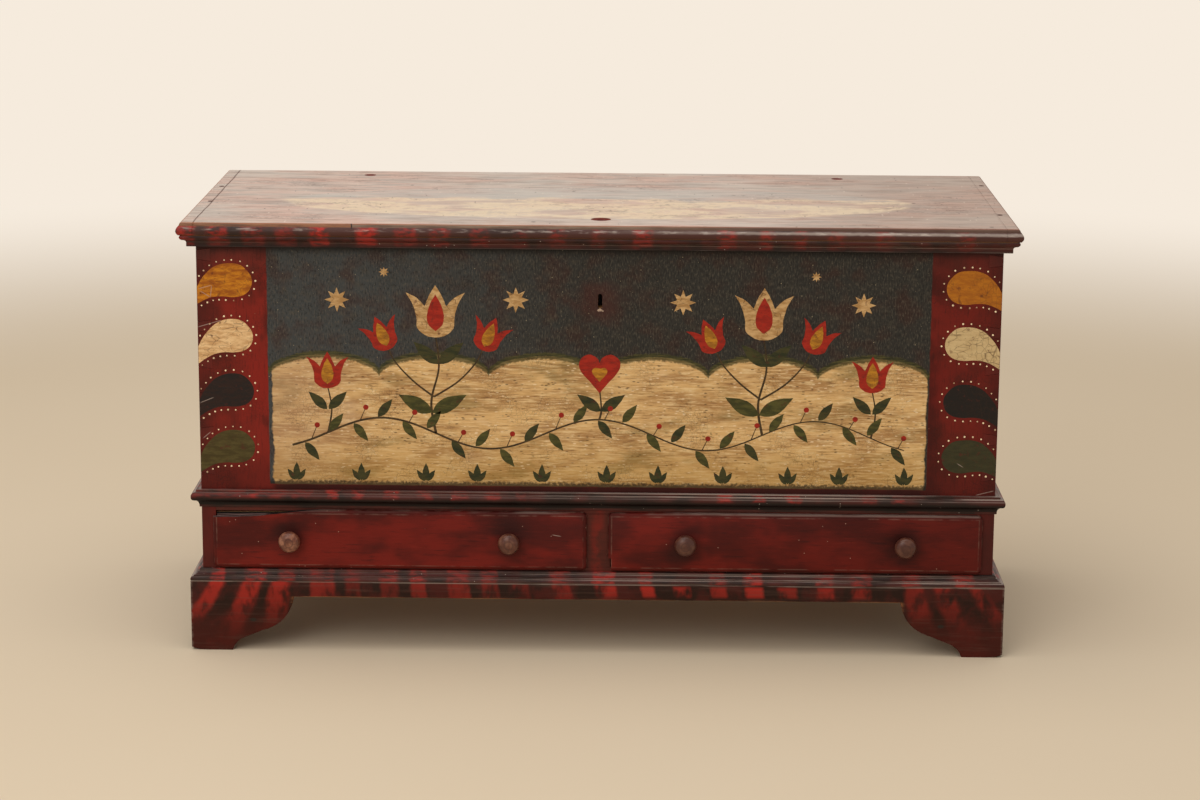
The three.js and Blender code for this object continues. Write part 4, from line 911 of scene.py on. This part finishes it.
plinth_coat = coat.finish(tint, 0.42 + grain * 0.22, grain + murk - peg * 0.5, 0.35, 0.15)
plinth_side_coat = moulding_paint(
    "plinth_side_paint", even_marks(20), [(112, 0.8, 0.8)], True, (-9, 10, 70), "7e1f1a", "5a1b17"
)

PLINTH_HALF = HALF_CASE + PLINTH_OUT
left_feet = [(p.x - PLINTH_HALF, p.y) for p in worn_foot]
front_outline = [(-PLINTH_HALF, PLINTH_TOP), *left_feet, *[(-x, z) for x, z in reversed(left_feet)]]
front_outline.append((PLINTH_HALF, PLINTH_TOP))
piece = sawn("plinth", [front_outline], -PLINTH_OUT, PLINTH_OUT + PLINTH_IN, 0.8)
for side in (-1, 1):
    clip(piece, spot(side * (HALF_CASE - MITRE_GAP), 0, 0), (side, 1, 0))
settle(piece, "plinth_front_board", "case", plinth_coat, ["plinth_front"], 40)
side_outline = [(-PLINTH_OUT, PLINTH_TOP), *[(p.x - PLINTH_OUT, p.y) for p in worn_foot]]
side_outline += [(BACK_EDGE - p.x, p.y) for p in reversed(square_foot)] + [(BACK_EDGE, PLINTH_TOP)]
for side, end in ENDS:
    near = PLINTH_HALF - PLINTH_OUT - PLINTH_IN if side > 0 else -PLINTH_HALF
    piece = sawn("plinth", [side_outline], near, PLINTH_OUT + PLINTH_IN, 0.8, True)
    clip(piece, spot(side * (HALF_CASE + MITRE_GAP), 0, 0), (-side, -1, 0))
    settle(piece, f"plinth_{end}_board", "case", plinth_side_coat, [f"plinth_{end}"], 40)

# Lid. One wide poplar board with a narrow strip nailed across each end, and one thumbnail edge
# planed round the front and both ends. The top is worn to a mauve-grey that is painted paler to
# stand for the sheen of its gloss, with a faded painted oval.
LID_BACK, LID_FOOT, SEAM = 537, 662, 621.5
LID_EDGE = [(0.87, 0), ((1.13, 0.34), (0.86, 0.72)), (0.81, 0.74), (0.81, 0.8), ((0.8, 0.97), (0.65, 1))]
lid = Finish("lid_paint")
x, y, z = lid.axes
streak = lid.noise(7, (11, 1, 1), 3, 6, 0.68)
cloud = lid.noise(110, (2.4, 1, 1), 6, 3)
patch = lid.noise(30, (3, 1, 1), 1, 5, 0.6)
oval = span((x + 5) / 514, (y - 205) / 165) + (patch - 0.5) * 0.1
inside_oval = oval.fade(1, 0.95)
near_front = (y + patch * 150 + streak * 60).fade(365, 330)
ghost = lid.noise(62, (2.6, 1, 1), 12, 4).fade(0.5, 0.6)
rubbed_off = lid.noise(7, (2.4, 3, 1), 17, 5, 0.7).fade(0.48, 0.6)
shown = inside_oval * near_front * (1 - ghost * 0.75) * (1 - rubbed_off * 0.45)
thin_marks = abs(lid.noise(60, (3, 1, 1), 21, 5, 0.7) - 0.5).fade(0.012, 0.002)
deep_marks = 0
for nail_x, nail_y in ((-627, 349), (-623, 190), (626, 117), (631, 426)):
    deep_marks = span((x - nail_x) / 4.4, (y - nail_y) / 6).fade(1.2, 0.8) + deep_marks
seam_wave = (lid.noise(90, (1, 1, 1), 3) - 0.5) * 5
seam_line = abs(abs(x) - SEAM + 1.2 + seam_wave).fade(1.5, 0.6) * (0.75 - x.fade(-300, 300) * 0.65)
deep_marks = (seam_line + deep_marks).math("MINIMUM", 1)
# The top's tones are its worn mauve-grey paint, lifted paler as a painted sheen.
top = lid.lay(
    "cebfb4", (cloud, 0.36, 0.64, "d3b3a5"), (patch, 0.46, 0.62, 0.6, "b5ada6"),
    (patch, 0.43, 0.32, 0.55, "c19a8c"), (streak, 0.49, 0.64, 0.65, "8f756a"),
    (streak, 0.44, 0.3, 0.5, "e6d7ca"), (x + cloud * 300, 300, 640, 0.4, "997e6e"),
    (inside_oval * (1 - near_front) * 0.4, "c0c1bc"), (shown * 0.75, "edd8b8"),
    (inside_oval * near_front * ghost * 0.3, "cba799"),
    (lid.specks(34, 0.08, 0.4, 5, (1.6, 2, 1)) * 0.7, "4c3a35"),
    (lid.specks(17, 0.1, 0.5, 9, (0.8, 2.4, 1)) * 0.75, "4d3a34"),
    (lid.specks(11, 0.16, 0.3, 15, (1, 2.4, 1)) * 0.5, "efe2d4"),
    (thin_marks * cloud.fade(0.48, 0.6) * 0.6, "5d463e"), (deep_marks * 0.9, "43201a"),
)
smudge = lid.noise(6, (1.8, 1, 1), 4, 4)
to_right = x.fade(-60, 340)
nose_dabs = dabs(lid, x, LID_MARKS, 13) * smudge.fade(0.3, 0.54) * y.fade(525, 500)
# A painted highlight runs along the upper round of the nose: in patches on the left, unbroken on the right.
shine = lid.noise(4, (5, 1, 1), 2, 4).fade(0.5, 0.7) * (0.5 - to_right * 0.1) + to_right * 0.5
glint = abs(z - 673.2 + (smudge - 0.5) * 2).fade(3.4, 0.6)
bare_edge = lid.lay(
    "946548", (x, -379, -375, "86705f"), (streak, 0.4, 0.62, 0.7, "573f34"), (to_right * 0.7, "4c2f28"),
)
split_line = abs(x + 377 + streak * 2).fade(1.3, 0.5) * z.fade(674, 675.5)
under = z.fade(662.6, 662.2) * abs(x).fade(640, 636)
lid_tint = lid.lay(
    "2e1d19", (cloud, 0.4, 0.6, "4a2822"),
    (nose_dabs, lid.lay("741a13", (smudge, 0.4, 0.66, "b0261b"))), (glint * shine, "bfb3ab"),
    (z, 676, 677.2, bare_edge), (z, 680.2, 681.2, 0.7, lid.lay("a5623d", (to_right, "8b5a48"))),
    (split_line, "1a100d"), (z, 681.5, 681.9, top), (under, pine(lid)[0]),
)
lid_rough = 0.36 + streak * 0.22 + (under * 0.3).math("MAXIMUM", deep_marks * 0.4)
lid_relief = streak * 0.7 + patch * 0.6 - deep_marks
lid_coat = lid.finish(lid_tint, lid_rough, lid_relief, 0.3, 0.3)

lid_line = section(LID_EDGE, 26.95, 20, LID_FOOT)[1:]
bpy.ops.mesh.primitive_plane_add()
slab = bpy.context.object
edit(slab, "FACE")
reach, rise = lid_line[0]
wide, deep = (HALF_CASE + reach) * MM, (LID_BACK + reach) * MM
shift((0, -1, 0))
grow((wide, deep / 2, 1))
shift(spot(0, LID_BACK, rise))
for here, there in zip(lid_line, lid_line[1:]):
    out, up = (there - here) * MM
    draw_out((0, 0, up))
    grow(((wide + out) / wide, (deep + out) / deep, 1), spot(0, LID_BACK, 0))
    wide, deep = wide + out, deep + out
close_up()


def cut_away(piece, tool, **settings):
    """Takes one piece's shape out of another, and puts the tool away."""
    cut = piece.modifiers.new("cut", "BOOLEAN")
    cut.object, cut.operation, cut.solver = tool, "DIFFERENCE", "EXACT"
    for key, setting in settings.items():
        setattr(cut, key, setting)
    only(piece)
    bpy.ops.object.modifier_apply(modifier="cut")
    bpy.data.objects.remove(tool)


# The bored holes for the three plugs: their places and radii.
BORES = ((-394.5, 491.5, 10.15), (394.5, 491.5, 10.15), (2, 42.5, 15.65))
for x, y, radius in BORES:
    top = spot(x, y, LID_FOOT + 20)
    bpy.ops.mesh.primitive_cylinder_add(vertices=48, radius=radius * MM, depth=10 * MM, location=top)
    cut_away(slab, bpy.context.object)
pieces = {
    "lid_main_board": ("lid_board", [(-1, 1), (1, 1)], -0.15),
    "lid_left_strip": ("lid_end_left", [(-1, -1)], 0.15),
    "lid_right_strip": ("lid_end_right", [(1, -1)], 0.15),
}
for name, (node, cuts, gap) in pieces.items():
    only(slab)
    bpy.ops.object.duplicate()
    piece = bpy.context.object
    for side, keep in cuts:
        clip(piece, spot(side * (SEAM + gap), 0, 0), (side * keep, 0, 0))
    settle(piece, name, "lid", lid_coat, [node], 32)
bpy.data.objects.remove(slab)

coat = Finish("plug_paint")
tint = coat.lay("581712", (coat.noise(6), 0.4, 0.62, "782a20"))
plug_coat = coat.finish(tint, 0.75, coat.noise(3), 0.2, 0.1)
dress(["lid_plug_front", "lid_plug_left", "lid_plug_right"], plug_coat)

# Drawer fronts. Pine fronts with a thumbnail lip worked round them and dovetailed to the sides.
# Both are painted wine red, and a stretch of lip has split away from each along the grain.
DRAWER_X, DRAWER_Z, LIP_HALF_X, LIP_HALF_Z = 309.25, 179.25, 292.75, 47.25
KNOB_OFF = 171.5
coat = Finish("drawer_red")
x, y, z = coat.axes
streak = coat.noise(3.4, (10, 1, 1), 5, 6, 0.68)
cloud = coat.noise(60, (2, 1, 1), 2, 3)
from_middle = abs(abs(x) - DRAWER_X)
hands = span(from_middle - KNOB_OFF, (z - DRAWER_Z) * 0.8) + cloud * 50
to_edge = (LIP_HALF_X - from_middle).math("MINIMUM", LIP_HALF_Z - abs(z - DRAWER_Z))
rubbed = abs(to_edge - 5.8).fade(1.5, 0.5) * 0.6 + to_edge.fade(1.6, 0.4)
rubbed = rubbed * coat.noise(20, shift=7, detail=4).fade(0.4, 0.64)
# Painted highlight along the top round of the lip.
lip_top_highlight = z.fade(222.5, 225.5) * coat.noise(30, (4, 1, 1), 4).fade(0.46, 0.6)
lip_top_highlight = lip_top_highlight * (x.fade(-330, 60) * 0.5 + 0.25)
wine = coat.lay(
    "4c1510", (cloud, 0.38, 0.62, "721d15"), (x, 80, 560, 0.45, "3c1310"),
    (streak, 0.52, 0.74, 0.6, "2f1311"), (streak, 0.42, 0.28, 0.3, "842920"),
    (hands, 66, 34, 0.7, "26110f"), (rubbed * 0.6, "8b6d60"), (lip_top_highlight, "a8938a"),
    (to_edge, 5.6, 4.6, 0.35, "34110f"), (coat.specks(9, 0.09, 0.1, 3), "b48f7e"),
)


def torn_wood(coat):
    """Wood that a split laid bare long ago: grey, with its fibres standing. At the top of the left
    drawer's split it is darkened with a painted shadow, where the gap under the rail falls.
    """
    fibre = coat.noise(1.8, (20, 1, 1), 1, 3)
    in_shadow = (coat.z - (coat.x + 602) * 0.018).fade(216.6, 217.8) * coat.x.fade(-440, -460)
    return coat.lay("7f6765", (fibre, 0.36, 0.62, "3f2d2a"), (in_shadow, "0b0706")), fibre


wine = coat.lay(
    scratched(coat, wine), (y, -0.285, -0.27, torn_wood(coat)[0]), (y, 0.5, 1, pine(coat)[0]),
)
drawer_coat = coat.finish(wine, 0.44 + streak * 0.2, streak + cloud * 0.5, 0.3, 0.15)
split = Finish("split_wood")
tint, fibre = torn_wood(split)
split_coat = split.finish(tint, 0.8, fibre, 0.8)


def lip(middle):
    """A board with its edge worked to a thumbnail: a square, a quarter round and a small step."""
    place = spot(middle, -0.3, DRAWER_Z)
    bpy.ops.mesh.primitive_plane_add(location=place, rotation=(pi / 2, 0, 0))
    piece = bpy.context.object
    edit(piece)
    grow((LIP_HALF_X * MM, 1, LIP_HALF_Z * MM), place)
    bpy.ops.mesh.bevel(offset=9 * MM, segments=8, affect="VERTICES")
    bpy.ops.mesh.select_mode(type="FACE")
    bpy.ops.mesh.select_all(action="SELECT")
    draw_out((0, -3 * MM, 0))
    rounds = 8
    for i in range(rounds):
        start, end = (pi / 2 * k / rounds for k in (i, i + 1))
        inset = 5 * (cos(start) - cos(end))
        out = 5 * (sin(end) - sin(start))
        bpy.ops.mesh.inset(thickness=inset * MM, depth=out * MM)
    bpy.ops.mesh.inset(thickness=0.6 * MM, depth=0)
    bpy.ops.mesh.inset(thickness=0.12 * MM, depth=0.85 * MM)
    bpy.ops.mesh.inset(thickness=0.35 * MM, depth=0.15 * MM)
    close_up()
    return piece


UPPER_BREAK = [(0, 1), (0.36, 0.84), (0.52, 0.62), (0.75, 0.27), (1, 0)]
for side, end in ENDS:
    middle = side * DRAWER_X
    piece = lip(middle)
    piece.data.materials.append(drawer_coat)
    corner, top_edge, foot_edge = middle - LIP_HALF_X, DRAWER_Z + LIP_HALF_Z, DRAWER_Z - LIP_HALF_Z
    lots = random.Random(3)
    if side < 0:
        torn = through([(corner + u * 170, top_edge - v * 12.5) for u, v in UPPER_BREAK], 9)
        torn = [(x, z + lots.uniform(-0.35, 0.35)) for x, z in torn]
        gap_outline = [(corner - 3, top_edge + 4), (corner - 3, torn[0][1]), *torn]
        gap_outline.append((corner + 174, top_edge + 4))
    else:
        torn = [(corner - 3 + i, foot_edge + 21 + lots.uniform(-0.5, 0.5)) for i in range(9)]
        gap_outline = [(corner - 3, foot_edge - 3), *torn, (corner + 5.6, foot_edge - 3)]
    saw = sawn("saw", [gap_outline], -14, 16)
    saw.data.materials.append(split_coat)
    cut_away(piece, saw, material_mode="TRANSFER")
    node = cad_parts[f"drawer_{end}_front"]
    body = bpy.data.objects.new("drawer_body", node.data.copy())
    bpy.context.collection.objects.link(body)
    body.data.materials.clear()
    body.data.materials.append(drawer_coat)
    edit(body)
    bpy.ops.mesh.remove_doubles(threshold=0.01 * MM)
    bpy.ops.object.mode_set(mode="OBJECT")
    clip(body, spot(0, -0.25, 0), (0, -1, 0))
    only(piece, body)
    bpy.ops.object.join()
    settle(piece, f"drawer_{end}_lipped_front", f"drawer_{end}", None, [node.name], 35)

# Knobs. Turned from one piece of maple each, with a tenon glued through the drawer front. Their
# paint has worn off to brown wood where fingers hold them.
KNOB_SHARES = [(0.5, 0), (0.5, 0), (0.5, 0.08), (0.44, 0.2), (0.55, 0.34), (0.9, 0.46), (1, 0.6),
               (0.97, 0.73), (0.82, 0.87), (0.55, 0.96), (0.27, 0.99), (0.03, 1)]
coat = Finish("knob_wood")
x, y, z = coat.axes
ring = coat.noise(9, (1, 1, 2), 2, 4)
from_axis = span(abs(abs(x) - DRAWER_X) - KNOB_OFF, z - DRAWER_Z)
groove = abs(from_axis - 8 + ring * 3).fade(1.8, 0.6)
# Painted shade round the knob's rim, heavier towards its underside.
rim_shade = from_axis.fade(12.5, 16.5) * ((z - DRAWER_Z).fade(6, -11) * 0.55 + 0.05)
tint = coat.lay(
    "754533", (ring, 0.4, 0.6, "9a6952"), (coat.noise(13, shift=5), 0.44, 0.58, 0.7, "50261c"),
    (groove * 0.5, "3f1d16"), (rim_shade, "3c1a14"), (x, -420, 40, 0.75, "40201a"),
    (y, -24, -14, 0.8, "2f1412"),
)
knob_coat = coat.finish(tint, 0.2 + ring * 0.2, ring, 0.25, 0.4)
knob_line = through([Vector((r * 17, d * 27)) for r, d in KNOB_SHARES], 4)
for side, end in ENDS:
    for hand, knob_end in ENDS:
        middle = side * DRAWER_X + hand * KNOB_OFF
        axis = spot(middle, -9.3, DRAWER_Z)
        back_end = spot(middle, 13, DRAWER_Z)
        bpy.ops.mesh.primitive_circle_add(
            vertices=48, radius=6 * MM, fill_type="NGON", location=back_end, rotation=(pi / 2, 0, 0)
        )
        piece = bpy.context.object
        edit(piece, "FACE")
        draw_out((0, -22.3 * MM, 0))
        girth, stand = 6, 0
        for radius, out in knob_line:
            draw_out((0, (stand - out) * MM, 0))
            grow((radius / girth, 1, radius / girth), axis)
            girth, stand = radius, out
        close_up()
        node = f"drawer_{end}_knob_{knob_end}"
        settle(piece, f"{node}_turned", f"drawer_{end}", knob_coat, [node], 40)

bpy.context.view_layer.update()
